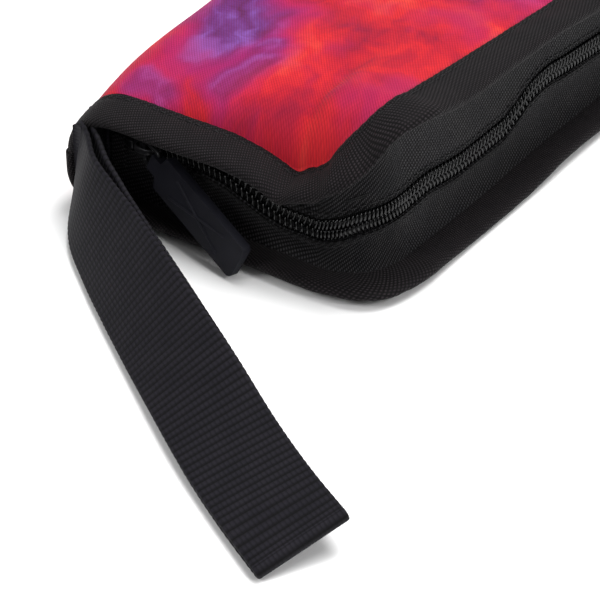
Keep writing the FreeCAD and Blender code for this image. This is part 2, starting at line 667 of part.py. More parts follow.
tab_bore.addConstraint(Sketcher.Constraint("Coincident", 0, 3, -1, 1))
tie(tab_bore, ("Diameter", 0), sizes["tab_hole"], "Sizes.tab_hole * 1 mm")
add_pocket(pull_tab, tab_bore, "tab_bore_cut")
pull_tab.Placement = FreeCAD.Placement(tab_pivot, tab_pose)


# ---------------------------------------------------------------- the wrist loop

# The loop leaves the spine's end on edge, then turns and leans over as it runs along the
# surface the bag lies on. Each row is the place of its lower edge from the spine's outer face
# and from the bag's near end, its height, its heading and how far it leans.
doubled = 2 * sizes["webbing_thickness"] + sizes["webbing_gap"]
bend_inside = sizes["spine_bend_radius"] - total(seam_all)
tail_side = sizes["tail_place"] - sizes["webbing_thickness"] - sizes["spine_bend_radius"]
tail_foot = (sizes["spine_bend_radius"] - math.sqrt(bend_inside ** 2 - tail_side ** 2)
             + sizes["tail_lift"])
loop_rows = [
    (sizes["tail_place"], -sizes["loop_start"], tail_foot, -88.0, 0.0),
    (8.4, -6.0, 3.2, -58.0, 8.0),
    (13.4, -12.0, 1.8, -51.0, 17.0),
    (20.2, -19.6, 1.1, -44.0, 26.0),
    (30.8, -28.7, 1.0, -38.0, 34.0),
    (44.4, -39.0, 1.1, -36.5, 41.0),
    (60.8, -51.0, 1.3, -36.0, 49.0),
    (78.7, -63.6, 1.6, -35.0, 58.0),
    (97.6, -76.6, 1.7, -33.0, 70.0),
    (117.0, -88.2, 1.7, -28.0, 80.0),
    (136.4, -97.8, 1.7, -24.0, 82.0),
]


def loop_frame(row):
    """The lower edge point, the width and the through directions at one row."""
    x, y, z, heading, lean = row
    forward = FreeCAD.Vector(math.cos(math.radians(heading)), math.sin(math.radians(heading)), 0)
    left = FreeCAD.Vector(-forward.y, forward.x, 0)
    width = left * math.sin(math.radians(lean)) + up * math.cos(math.radians(lean))
    through = forward.cross(width)
    point = FreeCAD.Vector(-sizes["bag_width"] / 2 + x, -sizes["bag_length"] / 2 + y, z)
    return point, forward, width, through


def loop_section(name, row, offset, thickness, ahead=0.0):
    """One flat section of webbing, offset through its thickness."""
    point, forward, width, through = loop_frame(row)
    section = doc.addObject("Part::Plane", name)
    section.Length = thickness
    section.setExpression("Width", "Sizes.webbing_width * 1 mm")
    corner = point + through * (offset - thickness / 2) + forward * ahead
    matrix = FreeCAD.Matrix(through.x, width.x, -forward.x, corner.x,
                            through.y, width.y, -forward.y, corner.y,
                            through.z, width.z, -forward.z, corner.z,
                            0, 0, 0, 1)
    section.Placement = FreeCAD.Placement(matrix)
    return section


def loop_layer(name, offset):
    loft = doc.addObject("Part::Loft", name)
    sections = []
    for number, row in enumerate(loop_rows):
        label = "%s_section_%d" % (name, number + 1)
        sections.append(loop_section(label, row, offset, sizes["webbing_thickness"]))
    loft.Sections = sections
    loft.Solid = True
    loft.Ruled = True
    return loft


layer_offset = (sizes["webbing_thickness"] + sizes["webbing_gap"]) / 2
outer_layer = loop_layer("loop_outer_layer", layer_offset)
inner_layer = loop_layer("loop_inner_layer", -layer_offset)
fold = doc.addObject("Part::Loft", "loop_fold")
fold.Sections = [
    loop_section("fold_root", loop_rows[-1], 0.0, doubled),
    loop_section("fold_middle", loop_rows[-1], 0.0, doubled * 0.85, sizes["fold_length"] * 0.6),
    loop_section("fold_end", loop_rows[-1], 0.0, doubled * 0.4, sizes["fold_length"]),
]
fold.Solid = True
fold.Ruled = True
join("wrist_loop", [outer_layer, inner_layer, fold])

tail_x = spine_x + " + (Sizes.tail_place - Sizes.webbing_thickness) * 1 mm"
inside_text = ("(Sizes.spine_bend_radius - Sizes.cover_thickness - Sizes.gusset_thickness"
               " - 2 * Sizes.binding_thickness)")
side_text = "(Sizes.tail_place - Sizes.webbing_thickness - Sizes.spine_bend_radius)"
tail_z = ("(Sizes.spine_bend_radius - sqrt(%s ^ 2 - %s ^ 2) + Sizes.tail_lift) * 1 mm"
          % (inside_text, side_text))
new_box("strap_tail",
        (tail_x, near_y + " - (Sizes.loop_start - Sizes.tail_clearance) * 1 mm",
         tail_z),
        ("2 * Sizes.webbing_thickness * 1 mm",
         "(Sizes.loop_start + Sizes.flange_reach - 2 * Sizes.tail_clearance) * 1 mm",
         "Sizes.webbing_width * 1 mm"))
new_box("strap_bartack",
        (tail_x + " + 2 * Sizes.webbing_thickness * 1 mm",
         near_y + " + (Sizes.flange_reach - Sizes.bartack_length) / 2 * 1 mm",
         tail_z + " + (Sizes.webbing_width - Sizes.bartack_width) / 2 * 1 mm"),
        ("Sizes.bartack_thickness * 1 mm", "Sizes.bartack_length * 1 mm",
         "Sizes.bartack_width * 1 mm"))


# ---------------------------------------------------------------- the pockets inside

inner_edge = "(%s)" % words(fill_in + ("pocket_margin",))
pocket_x = spine_x + " + (Sizes.spine_bend_radius + Sizes.pocket_margin) * 1 mm"
pocket_wide = ("Sizes.bag_width * 1 mm - %s - (Sizes.spine_bend_radius + Sizes.pocket_margin)"
               " * 1 mm" % inner_edge)
pocket_y = near_y + " + " + inner_edge
new_box("stick_pocket", (pocket_x, pocket_y, words(skin)),
        (pocket_wide, "Sizes.stick_pocket_length * 1 mm", "Sizes.pocket_cloth * 1 mm"))
new_box("stick_pocket_hem",
        (pocket_x, pocket_y + " + (Sizes.stick_pocket_length - Sizes.hem_width) * 1 mm",
         words(skin + ("pocket_cloth",))),
        (pocket_wide, "Sizes.hem_width * 1 mm", "Sizes.pocket_cloth * 1 mm"))
roof = "Sizes.bag_thickness * 1 mm - (%s)" % words(skin)
new_box("mesh_pocket", (pocket_x, pocket_y, roof + " - Sizes.pocket_cloth * 1 mm"),
        (pocket_wide, "Sizes.mesh_pocket_length * 1 mm", "Sizes.pocket_cloth * 1 mm"))
new_box("mesh_pocket_hem",
        (pocket_x, pocket_y + " + (Sizes.mesh_pocket_length - Sizes.hem_width) * 1 mm",
         roof + " - 2 * Sizes.pocket_cloth * 1 mm"),
        (pocket_wide, "Sizes.hem_width * 1 mm", "Sizes.pocket_cloth * 1 mm"))


# ---------------------------------------------------------------- checks and files

doc.recompute()
for item in doc.Objects:
    if "Invalid" in item.State or "Error" in item.State:
        raise RuntimeError("this object did not build: " + item.Label)
os.makedirs("parts", exist_ok=True)
for node in nodes:
    if node.Shape.isNull() or not node.Shape.isValid():
        raise RuntimeError("this piece has no sound shape: " + node.Label)
for node in nodes:
    node.Shape.exportStep("parts/%s.step" % node.Label)
    box = node.Shape.BoundBox
    print("%-22s volume %10.1f  solids %d  x %7.1f %7.1f  y %7.1f %7.1f  z %6.1f %6.1f"
          % (node.Label, node.Shape.Volume, len(node.Shape.Solids), box.XMin, box.XMax,
             box.YMin, box.YMax, box.ZMin, box.ZMax))
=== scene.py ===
# %% [markdown]
# # A drum stick bag in Blender
# The real object is a slim padded bag that opens like a book. Its printed cover, foam and
# lining are sewn together, and a tape is folded over every raw edge. A zip in a black side
# strip closes three sides, and a webbing loop hangs from the end of the spine.

# %% Load the solid model
import bpy
import math
import numpy as np
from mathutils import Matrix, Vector


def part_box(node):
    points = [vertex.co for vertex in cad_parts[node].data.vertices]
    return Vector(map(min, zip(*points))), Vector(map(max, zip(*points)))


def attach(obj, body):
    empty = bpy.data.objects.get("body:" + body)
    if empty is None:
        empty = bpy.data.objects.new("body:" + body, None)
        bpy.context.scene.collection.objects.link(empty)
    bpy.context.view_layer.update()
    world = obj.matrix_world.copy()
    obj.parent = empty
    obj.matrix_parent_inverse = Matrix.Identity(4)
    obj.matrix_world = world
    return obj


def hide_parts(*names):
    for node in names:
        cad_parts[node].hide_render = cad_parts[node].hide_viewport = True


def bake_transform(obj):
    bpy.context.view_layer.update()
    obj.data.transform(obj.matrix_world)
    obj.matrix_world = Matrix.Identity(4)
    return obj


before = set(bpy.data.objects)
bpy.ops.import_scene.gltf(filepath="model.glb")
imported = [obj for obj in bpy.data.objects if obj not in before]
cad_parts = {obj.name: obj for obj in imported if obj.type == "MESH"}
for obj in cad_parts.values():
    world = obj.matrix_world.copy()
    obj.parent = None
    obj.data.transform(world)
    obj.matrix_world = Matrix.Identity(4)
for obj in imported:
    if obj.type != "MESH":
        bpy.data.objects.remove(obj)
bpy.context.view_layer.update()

# %% [markdown]
# A sewn bag follows a few lines: the outline of its cover and the height of each seam. All of
# them are measured in millimetres here, from the solid model, and turned to metres at the end.

# %% Sizes of the bag
low_corner, high_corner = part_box("lower_binding")
BAG_WIDE = (high_corner[0] - low_corner[0]) * 1000
BAG_LONG = (high_corner[1] - low_corner[1]) * 1000
SPINE_X = -BAG_WIDE / 2
NEAR_Y = -BAG_LONG / 2
CORNER = 27.0
FLANGE = 11.0
LOWER_SEAM = 0.9
ROUND_TOP = 15.5
ROUND_BOTTOM = 10.0
CLOTH = 0.8
PANEL_COLUMNS = 44


def box_mm(node):
    """The low and high corners of a node of the solid model, in millimetres."""
    return [np.array(corner) * 1000 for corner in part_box(node)]


print("bag", round(BAG_WIDE), "by", round(BAG_LONG), "mm")

# %% [markdown]
# The cover's outline is straight at the spine and rounded at the two corners on the zip side.
# A distance walked along the outer edge names every place on it, starting at the spine's near
# end. The same walk, taken further in, gives the wall, the zip and the seam.

# %% Walk round the outline
STRAIGHT_END = BAG_WIDE - CORNER
ARC = CORNER * math.pi / 2
STRAIGHT_SIDE = BAG_LONG - 2 * CORNER
WALK = 2 * STRAIGHT_END + 2 * ARC + STRAIGHT_SIDE


def outline(walk, inset):
    """Plan place and outward direction at a walked distance, some way in from the edge."""
    walk = np.atleast_1d(np.asarray(walk, float))
    half = BAG_LONG / 2
    right = BAG_WIDE / 2
    mirrored = walk > WALK / 2
    d = np.where(mirrored, WALK - walk, walk)
    turn = np.clip((d - STRAIGHT_END) / CORNER, 0, math.pi / 2)
    ahead = np.clip(d - STRAIGHT_END - ARC, 0, None)
    radius = CORNER - inset
    x = np.where(d < STRAIGHT_END, SPINE_X + d, right - CORNER + radius * np.sin(turn))
    y = -half + CORNER - radius * np.cos(turn) + ahead
    out_x = np.sin(turn)
    out_y = -np.cos(turn)
    y = np.where(mirrored, -y, y)
    out_y = np.where(mirrored, -out_y, out_y)
    return x, y, out_x, out_y


print("edge length", round(WALK), "mm")

# %% [markdown]
# A used bag is never a neat box. The upper cover stands high at the zip-side corner, sinks along
# the short end, and the zip waves up and down between them. Small tables of heights along the
# walk hold that shape, and a smooth curve through each keeps it soft.

# %% Heights of the seams and the zip
def smooth(table, at):
    """A soft curve through a table of (distance, height) rows."""
    xs, ys = np.array(table, float).T
    slopes = np.zeros(len(xs))
    steps = np.diff(ys) / np.diff(xs)
    same = steps[:-1] * steps[1:] > 0
    slopes[1:-1][same] = 2 * steps[:-1][same] * steps[1:][same] / (steps[:-1] + steps[1:])[same]
    at = np.clip(np.asarray(at, float), xs[0], xs[-1])
    k = np.clip(np.searchsorted(xs, at) - 1, 0, len(xs) - 2)
    width = xs[k + 1] - xs[k]
    t = (at - xs[k]) / width
    a = ys[k] * (1 + 2 * t) * (1 - t) ** 2 + slopes[k] * width * t * (1 - t) ** 2
    b = ys[k + 1] * t * t * (3 - 2 * t) + slopes[k + 1] * width * t * t * (t - 1)
    return a + b


TOP_EDGE = [(0, 33.2), (12, 33.5), (30, 33.8), (48, 33.9), (58, 32.6), (65, 30.7), (69.5, 29.4),
            (73, 31.4), (77, 33.6), (81, 35.6), (85, 39.6), (92, 45.0), (104, 51.5),
            (112, 53.2), (120, 52.6), (130, 51.6), (145, 50.2), (164, 48.6), (195, 46.3),
            (240, 44.8), (300, 43.6),
            (380, 43.0), (450, 44.0), (500, 45.0), (530, 44.2), (560, 40.5), (600, 37.0),
            (632, 35.5)]
TOP_DROOP = [(0, 3.4), (48, 3.2), (64, 2.2), (74, 4.2), (82, 6.4), (89, 8.2), (93, 8.4),
             (97, 5.4), (101, 1.6), (106, 0.6), (114, 0.6), (130, 2.6), (145, 1.6),
             (165, 0.2), (180, -0.8), (200, 0.4), (260, 1.8), (330, 0.8), (400, 1.8),
             (500, 1.0), (560, 1.6), (632, 2.4)]
ZIP_LINE = [(0, 21.4), (24, 21.4), (36, 21.9), (44, 21.0), (53, 18.0), (60, 15.6), (67, 14.3),
            (76, 14.3), (86, 16.0), (96, 18.4), (106, 19.6), (116, 20.6), (128, 21.0),
            (136, 19.8), (146, 18.6), (156, 18.4), (166, 18.4), (174, 20.6), (182, 23.6), (190, 24.3),
            (200, 23.2), (225, 21.0), (260, 19.6), (300, 21.6), (340, 20.0), (390, 21.4),
            (440, 20.0), (500, 21.0), (560, 20.4), (600, 21.2), (632, 21.4)]
SPINE_TOP = [(0, 33.5), (30, 35.2), (70, 37.6), (130, 40.5), (220, 42.0), (320, 41.6),
             (400, 39.5), (450, 36.0)]
print("top edge at the zip-side corner", float(smooth(TOP_EDGE, 112)), "mm")


def ripple(at, length, seed):
    """A soft uneven wave about zero, one high, that repeats the same on every run."""
    rng = np.random.default_rng(seed)
    total = np.zeros_like(np.asarray(at, float))
    for k in range(5):
        total += np.sin(np.asarray(at) * 2 * math.pi / (length * rng.uniform(0.6, 1.7))
                        + rng.uniform(0, 7)) / 2.4
    return total


# %% [markdown]
# Blender shows faces, so each cloth becomes a grid of points with a front, a back and closed
# rims. One maker does this for every sheet. It keeps the cloth's own measure as its UV map, in
# centimetres, so that a weave runs along the cloth wherever the cloth goes.

# %% Turn point grids into cloth
def finish_mesh(name, points, faces, uvs, finish, body, smooth_angle=None):
    """A mesh object from points in millimetres, ridden by one body."""
    mesh = bpy.data.meshes.new(name)
    mesh.from_pydata((np.asarray(points) / 1000).tolist(), [], faces)
    layer = mesh.uv_layers.new(name="cloth")
    loops = np.empty(len(mesh.loops), dtype=np.int32)
    mesh.loops.foreach_get("vertex_index", loops)
    layer.data.foreach_set("uv", (np.asarray(uvs)[loops] / 10).ravel())
    mesh.validate()
    mesh.shade_smooth()
    piece = bpy.data.objects.new(name, mesh)
    bpy.context.scene.collection.objects.link(piece)
    mesh.materials.append(finish)
    if smooth_angle:
        mesh.set_sharp_from_angle(angle=math.radians(smooth_angle))
    if body:
        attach(piece, body)
    return piece


def grid_normals(grid):
    across = np.gradient(grid, axis=1)
    along = np.gradient(grid, axis=0)
    normal = np.cross(along, across)
    length = np.linalg.norm(normal, axis=2, keepdims=True)
    return normal / np.maximum(length, 1e-9)


def grid_faces(rows, columns, start=0, flip=False, closed=False):
    faces = []
    last = columns if closed else columns - 1
    for i in range(rows - 1):
        for j in range(last):
            k = (j + 1) % columns
            quad = (start + i * columns + j, start + i * columns + k,
                    start + (i + 1) * columns + k, start + (i + 1) * columns + j)
            faces.append(quad[::-1] if flip else quad)
    return faces


def cloth(name, grid, uv, thick, finish, body, flip=False):
    """A cloth of even thickness whose outer face is the given grid."""
    rows, columns = grid.shape[:2]
    normal = grid_normals(grid) * (-1 if flip else 1)
    inner = grid - normal * thick
    points = np.concatenate([grid.reshape(-1, 3), inner.reshape(-1, 3)])
    uvs = np.concatenate([uv.reshape(-1, 2)] * 2)
    count = rows * columns
    faces = grid_faces(rows, columns, 0, not flip) + grid_faces(rows, columns, count, flip)
    rim = [i * columns for i in range(rows)]
    rim += [(rows - 1) * columns + j for j in range(1, columns)]
    rim += [i * columns + columns - 1 for i in range(rows - 2, -1, -1)]
    rim += list(range(columns - 2, 0, -1))
    for a, b in zip(rim, rim[1:] + rim[:1]):
        quad = (a, b, b + count, a + count)
        faces.append(quad if not flip else quad[::-1])
    return finish_mesh(name, points, faces, uvs, finish, body)


def band(name, rings, uv, finish, body, sharp=None):
    """A solid swept from closed rings of points, capped at both ends."""
    rows, columns = rings.shape[:2]
    faces = grid_faces(rows, columns, 0, False, closed=True)
    faces.append(tuple(range(columns)))
    faces.append(tuple(reversed(range((rows - 1) * columns, rows * columns))))
    return finish_mesh(name, rings.reshape(-1, 3), faces, uv.reshape(-1, 2), finish, body,
                       sharp)


# %% [markdown]
# Woven cloth is a grid of threads. Rather than model each thread, the material raises a fine
# pattern drawn from two waves on the UV map, and paints the same pattern into the colour:
# painted shade between the threads and a painted highlight where they cross. A coarse pitch
# reads as ribs, and a fine one as plain weave.

# %% A weave for every black cloth
class Nodes:
    """Short helper for wiring one material."""

    def __init__(self, name):
        self.material = bpy.data.materials.new(name)
        self.material.use_nodes = True
        self.tree = self.material.node_tree
        self.shader = self.tree.nodes["Principled BSDF"]

    def add(self, kind, **values):
        node = self.tree.nodes.new(kind)
        for key, value in values.items():
            if key in node.inputs:
                node.inputs[key].default_value = value
            else:
                setattr(node, key, value)
        return node

    def link(self, source, target):
        self.tree.links.new(source, target)

    def math(self, operation, first, second=None):
        node = self.add("ShaderNodeMath", operation=operation)
        for socket, value in zip(node.inputs, (first, second)):
            if value is None:
                continue
            if isinstance(value, (int, float)):
                socket.default_value = value
            else:
                self.link(value, socket)
        return node.outputs[0]

    def thread(self, along, pitch):
        """A rounded wave, nought between threads and one on top, for a pitch in mm."""
        turned = self.math("MULTIPLY", along, math.pi * 10 / pitch)
        return self.math("ABSOLUTE", self.math("SINE", turned))

    def mix_colour(self, factor, first, second):
        node = self.add("ShaderNodeMix", data_type="RGBA")
        if isinstance(factor, (int, float)):
            node.inputs[0].default_value = factor
        else:
            self.link(factor, node.inputs[0])
        for socket, value in ((node.inputs[6], first), (node.inputs[7], second)):
            if isinstance(value, tuple):
                socket.default_value = (*value, 1)
            else:
                self.link(value, socket)
        return node.outputs[2]

    def noise(self, vector, scale, detail=3.0, rough=0.5):
        node = self.add("ShaderNodeTexNoise", Scale=scale, Detail=detail, Roughness=rough)
        self.link(vector, node.inputs["Vector"])
        return node.outputs["Fac"]

    def ramp(self, factor, stops):
        node = self.add("ShaderNodeValToRGB")
        band_ = node.color_ramp
        while len(band_.elements) < len(stops):
            band_.elements.new(0.5)
        for element, (place, colour) in zip(band_.elements, stops):
            element.position = place
            element.color = (*colour, 1) if len(colour) == 3 else colour
        self.link(factor, node.inputs[0])
        return node.outputs[0]

    def bump(self, height, distance, strength=1.0):
        node = self.add("ShaderNodeBump", Strength=strength, Distance=distance)
        self.link(height, node.inputs["Height"])
        self.link(node.outputs[0], self.shader.inputs["Normal"])


def cloth_axes(nodes, slant=0.0):
    """The cloth's own along and across measures, in centimetres, turned by a slant."""
    place = nodes.add("ShaderNodeUVMap", uv_map="cloth")
    turned = nodes.add("ShaderNodeMapping")
    turned.inputs["Rotation"].default_value = (0, 0, math.radians(slant))
    nodes.link(place.outputs[0], turned.inputs[0])
    split = nodes.add("ShaderNodeSeparateXYZ")
    nodes.link(turned.outputs[0], split.inputs[0])
    return turned.outputs[0], split.outputs[0], split.outputs[1]


def black_weave(name, low, high, pitch, cross_pitch, depth, slant=0.0, rough=0.7, spark=2.0,
                beads=1.0):
    """Black cloth: painted shade between its threads, a painted highlight where one crosses on top.
    """
    nodes = Nodes(name)
    place, along, across = cloth_axes(nodes, slant)
    warp = nodes.thread(along, pitch)
    weft = nodes.thread(across, cross_pitch)
    crossed = nodes.math("ADD", nodes.math("MULTIPLY", weft, beads), 1.0 - beads)
    weave = nodes.math("POWER", nodes.math("MULTIPLY", warp, crossed), spark)
    patches = nodes.noise(place, 1.3, 4.0)
    fuzz = nodes.noise(place, 45.0, 2.0)
    uneven = nodes.math("ADD", nodes.math("MULTIPLY", fuzz, 0.9), 0.5)
    shade = nodes.math("MULTIPLY", weave, uneven)
    # Painted light: the weave mixes the colour from low, a painted shade between threads, to high, a
    # painted highlight on the crossings.
    base = nodes.mix_colour(shade, low, high)
    faded = nodes.ramp(patches, [(0.35, (0.80, 0.80, 0.82)), (0.75, (1.15, 1.12, 1.08))])
    tinted = nodes.add("ShaderNodeMix", data_type="RGBA", blend_type="MULTIPLY")
    tinted.inputs[0].default_value = 1.0
    nodes.link(base, tinted.inputs[6])
    nodes.link(faded, tinted.inputs[7])
    nodes.link(tinted.outputs[2], nodes.shader.inputs["Base Color"])
    nodes.shader.inputs["Roughness"].default_value = rough
    nodes.shader.inputs["Sheen Weight"].default_value = 0.02
    nodes.shader.inputs["Sheen Roughness"].default_value = 0.45
    nodes.shader.inputs["Specular IOR Level"].default_value = 0.12
    nodes.bump(weave, depth)
    return nodes.material


# Each black cloth's first colour is the painted shade between its threads, the second the painted
# highlight on its crossings.
BINDING = black_weave("binding_tape", (0.0012, 0.0010, 0.0012), (0.029, 0.023, 0.027), 0.72, 0.85,
                      0.00022, slant=24)
GUSSET = black_weave("gusset_cloth", (0.0024, 0.0023, 0.0026), (0.055, 0.054, 0.058), 1.05, 0.85,
                     0.00022, slant=62)
TAPE = black_weave("zip_tape", (0.002, 0.002, 0.0022), (0.030, 0.030, 0.032), 0.9, 0.8, 0.00012)
LINING = black_weave("lining_cloth", (0.006, 0.006, 0.0065), (0.040, 0.040, 0.042), 0.8, 0.8,
                     0.00008, rough=0.6)
WEBBING = black_weave("webbing_weave", (0.0009, 0.0008, 0.0012), (0.012, 0.011, 0.016), 2.25,
                      1.15, 0.00020, spark=1.0, beads=0.45)
print("black cloths:", 5)

# %% [markdown]
# The outer cloth is printed with a soft cloudy pattern, like tie-dye: coral red, with patches
# of crimson, magenta and violet that run into each other. Slow noise chooses the reds. Round
# clouds place the violet at the near end, and slow noise places it beyond. A fine weave breaks
# up the print, with painted shade darkening the print between its threads.

# %% The printed cloth
def cloud(nodes, place, centre, size, edge=0.5):
    """A soft round patch on the cloth, one at its middle and nought outside."""
    centre_node = nodes.add("ShaderNodeVectorMath", operation="SUBTRACT")
    nodes.link(place, centre_node.inputs[0])
    centre_node.inputs[1].default_value = (centre[0], centre[1], 0)
    stretch = nodes.add("ShaderNodeVectorMath", operation="MULTIPLY")
    nodes.link(centre_node.outputs[0], stretch.inputs[0])
    stretch.inputs[1].default_value = (1 / size[0], 1 / size[1], 0)
    reach = nodes.add("ShaderNodeVectorMath", operation="LENGTH")
    nodes.link(stretch.outputs[0], reach.inputs[0])
    fade = nodes.add("ShaderNodeMapRange", interpolation_type="SMOOTHSTEP")
    nodes.link(reach.outputs["Value"], fade.inputs["Value"])
    fade.inputs["From Min"].default_value = edge
    fade.inputs["From Max"].default_value = 1.0
    fade.inputs["To Min"].default_value = 1.0
    fade.inputs["To Max"].default_value = 0.0
    return fade.outputs[0]


def printed_cloth():
    nodes = Nodes("printed_cloth")
    place, along, _ = cloth_axes(nodes)
    swirl = nodes.add("ShaderNodeTexNoise", Scale=0.35, Detail=3.0)
    nodes.link(place, swirl.inputs["Vector"])
    level = nodes.add("ShaderNodeVectorMath", operation="SUBTRACT")
    nodes.link(swirl.outputs["Color"], level.inputs[0])
    level.inputs[1].default_value = (0.5, 0.5, 0.5)
    pushed = nodes.add("ShaderNodeVectorMath", operation="MULTIPLY_ADD")
    nodes.link(level.outputs[0], pushed.inputs[0])
    pushed.inputs[1].default_value = (3.6, 3.6, 0)
    nodes.link(place, pushed.inputs[2])
    swirled = pushed.outputs[0]
    broad = nodes.noise(swirled, 0.55, 4.0, 0.6)
    base = nodes.ramp(broad, [(0.30, (0.24, 0.008, 0.036)), (0.44, (0.44, 0.011, 0.028)),
                              (0.56, (0.60, 0.018, 0.024)), (0.70, (0.70, 0.050, 0.038))])
    rosy = nodes.noise(swirled, 0.42, 3.0)
    rosy_amount = nodes.ramp(rosy, [(0.48, (0, 0, 0)), (0.66, (0.70, 0.70, 0.70))])
    base = nodes.mix_colour(rosy_amount, base, (0.36, 0.014, 0.088))
    for centre, size, strength in VIOLET_CLOUDS:
        patch = cloud(nodes, swirled, centre, size, 0.35)
        patch = nodes.math("MULTIPLY", patch, strength)
        ring = cloud(nodes, swirled, centre, (size[0] * 1.45, size[1] * 1.45), 0.5)
        ring = nodes.math("MULTIPLY", ring, 0.75 * strength)
        base = nodes.mix_colour(ring, base, (0.30, 0.012, 0.14))
        inside = nodes.noise(swirled, 1.1, 3.0)
        violet = nodes.ramp(inside, [(0.36, (0.08, 0.014, 0.08)), (0.50, (0.12, 0.028, 0.18)),
                                     (0.64, (0.19, 0.08, 0.36))])
        base = nodes.mix_colour(patch, base, violet)
    spread = nodes.noise(swirled, 0.19, 3.0, 0.55)
    beyond = nodes.add("ShaderNodeMapRange", interpolation_type="SMOOTHSTEP")
    nodes.link(along, beyond.inputs["Value"])
    beyond.inputs["From Min"].default_value = -15.0
    beyond.inputs["From Max"].default_value = -10.0
    rim = nodes.ramp(spread, [(0.42, (0, 0, 0)), (0.54, (0.85, 0.85, 0.85))])
    base = nodes.mix_colour(nodes.math("MULTIPLY", rim, beyond.outputs[0]), base,
                            (0.34, 0.013, 0.13))
    deep = nodes.ramp(spread, [(0.51, (0, 0, 0)), (0.62, (0.9, 0.9, 0.9))])
    inky = nodes.noise(swirled, 0.9, 3.0)
    inky = nodes.ramp(inky, [(0.36, (0.06, 0.012, 0.10)), (0.52, (0.12, 0.026, 0.20)),
                             (0.66, (0.20, 0.08, 0.36))])
    base = nodes.mix_colour(nodes.math("MULTIPLY", deep, beyond.outputs[0]), base, inky)
    ribs = nodes.thread(cloth_axes(nodes, -55)[1], 0.70)
    crossing = nodes.thread(cloth_axes(nodes, 35)[1], 0.95)
    weave = nodes.math("MULTIPLY", ribs,
                       nodes.math("ADD", nodes.math("MULTIPLY", crossing, 0.45), 0.55))
    # Painted shade: the print is darkened towards a deep red between the threads of the weave.
    painted_thread_gap_shade = nodes.mix_colour(nodes.math("SUBTRACT", 1.0, weave), base, (0.16, 0.004, 0.015))
    soft = nodes.mix_colour(0.40, base, painted_thread_gap_shade)
    nodes.link(soft, nodes.shader.inputs["Base Color"])
    nodes.shader.inputs["Roughness"].default_value = 0.7
    nodes.shader.inputs["Sheen Weight"].default_value = 0.03
    nodes.shader.inputs["Sheen Roughness"].default_value = 0.5
    nodes.shader.inputs["Specular IOR Level"].default_value = 0.1
    nodes.bump(weave, 0.00012)
    return nodes.material


VIOLET_CLOUDS = [((-17.7, 3.7), (2.2, 1.9), 1.0), ((-18.9, 5.2), (1.0, 1.0), 0.55),
                 ((-20.0, 5.4), (1.0, 1.1), 0.5), ((-21.0, 2.9), (0.9, 0.8), 0.5),
                 ((-18.5, -6.0), (3.2, 2.6), 0.8)]
PRINTED = printed_cloth()
print("violet clouds:", len(VIOLET_CLOUDS))

# %% [markdown]
# Nylon coil is smooth and catches bright points of light. Thread is matt with a slight gleam.
# The slider is enamelled metal, and the tab is dull moulded rubber with a dry bloom.

# %% Zip, thread, metal and rubber
def hard_finish(name, colour, rough, metal=0.0, grain=40.0, depth=0.00005, gloss=0.3):
    nodes = Nodes(name)
    place = nodes.add("ShaderNodeTexCoord").outputs["Object"]
    speckle = nodes.noise(place, grain * 10, 4.0, 0.6)
    wear = nodes.noise(place, grain, 3.0)
    tone = nodes.math("ADD", nodes.math("MULTIPLY", speckle, 0.4),
                      nodes.math("MULTIPLY", wear, 0.6))
    base = nodes.ramp(tone, [(0.3, tuple(c * 0.7 for c in colour)),
                             (0.7, tuple(c * 1.25 for c in colour))])
    nodes.link(base, nodes.shader.inputs["Base Color"])
    dull = nodes.math("ADD", nodes.math("MULTIPLY", tone, 0.25), rough - 0.12)
    nodes.link(dull, nodes.shader.inputs["Roughness"])
    nodes.shader.inputs["Metallic"].default_value = metal
    nodes.shader.inputs["Specular IOR Level"].default_value = gloss
    nodes.bump(speckle, depth, 0.6)
    return nodes.material


COIL = hard_finish("zip_coil", (0.002, 0.002, 0.0024), 0.13, grain=300, depth=0.00001, gloss=0.42)
THREAD = hard_finish("sewing_thread", (0.006, 0.006, 0.0065), 0.55, grain=900)
ENAMEL = hard_finish("slider_enamel", (0.02, 0.02, 0.022), 0.34, metal=0.5, grain=250)
RUBBER = hard_finish("tab_rubber", (0.0085, 0.0085, 0.0125), 0.6, grain=160, depth=0.00004,
                     gloss=0.12)
print("hard finishes:", 4)

# %% [markdown]
# The lower and the upper seam each run from the middle of the spine, round its bend, along the
# short end, the long side and the far end, and back into the spine. This route carries three
# directions: out of the seam, away from the cloth's face, and along the walk.

# %% The route of each seam
def top_height(walk):
    return smooth(TOP_EDGE, walk)


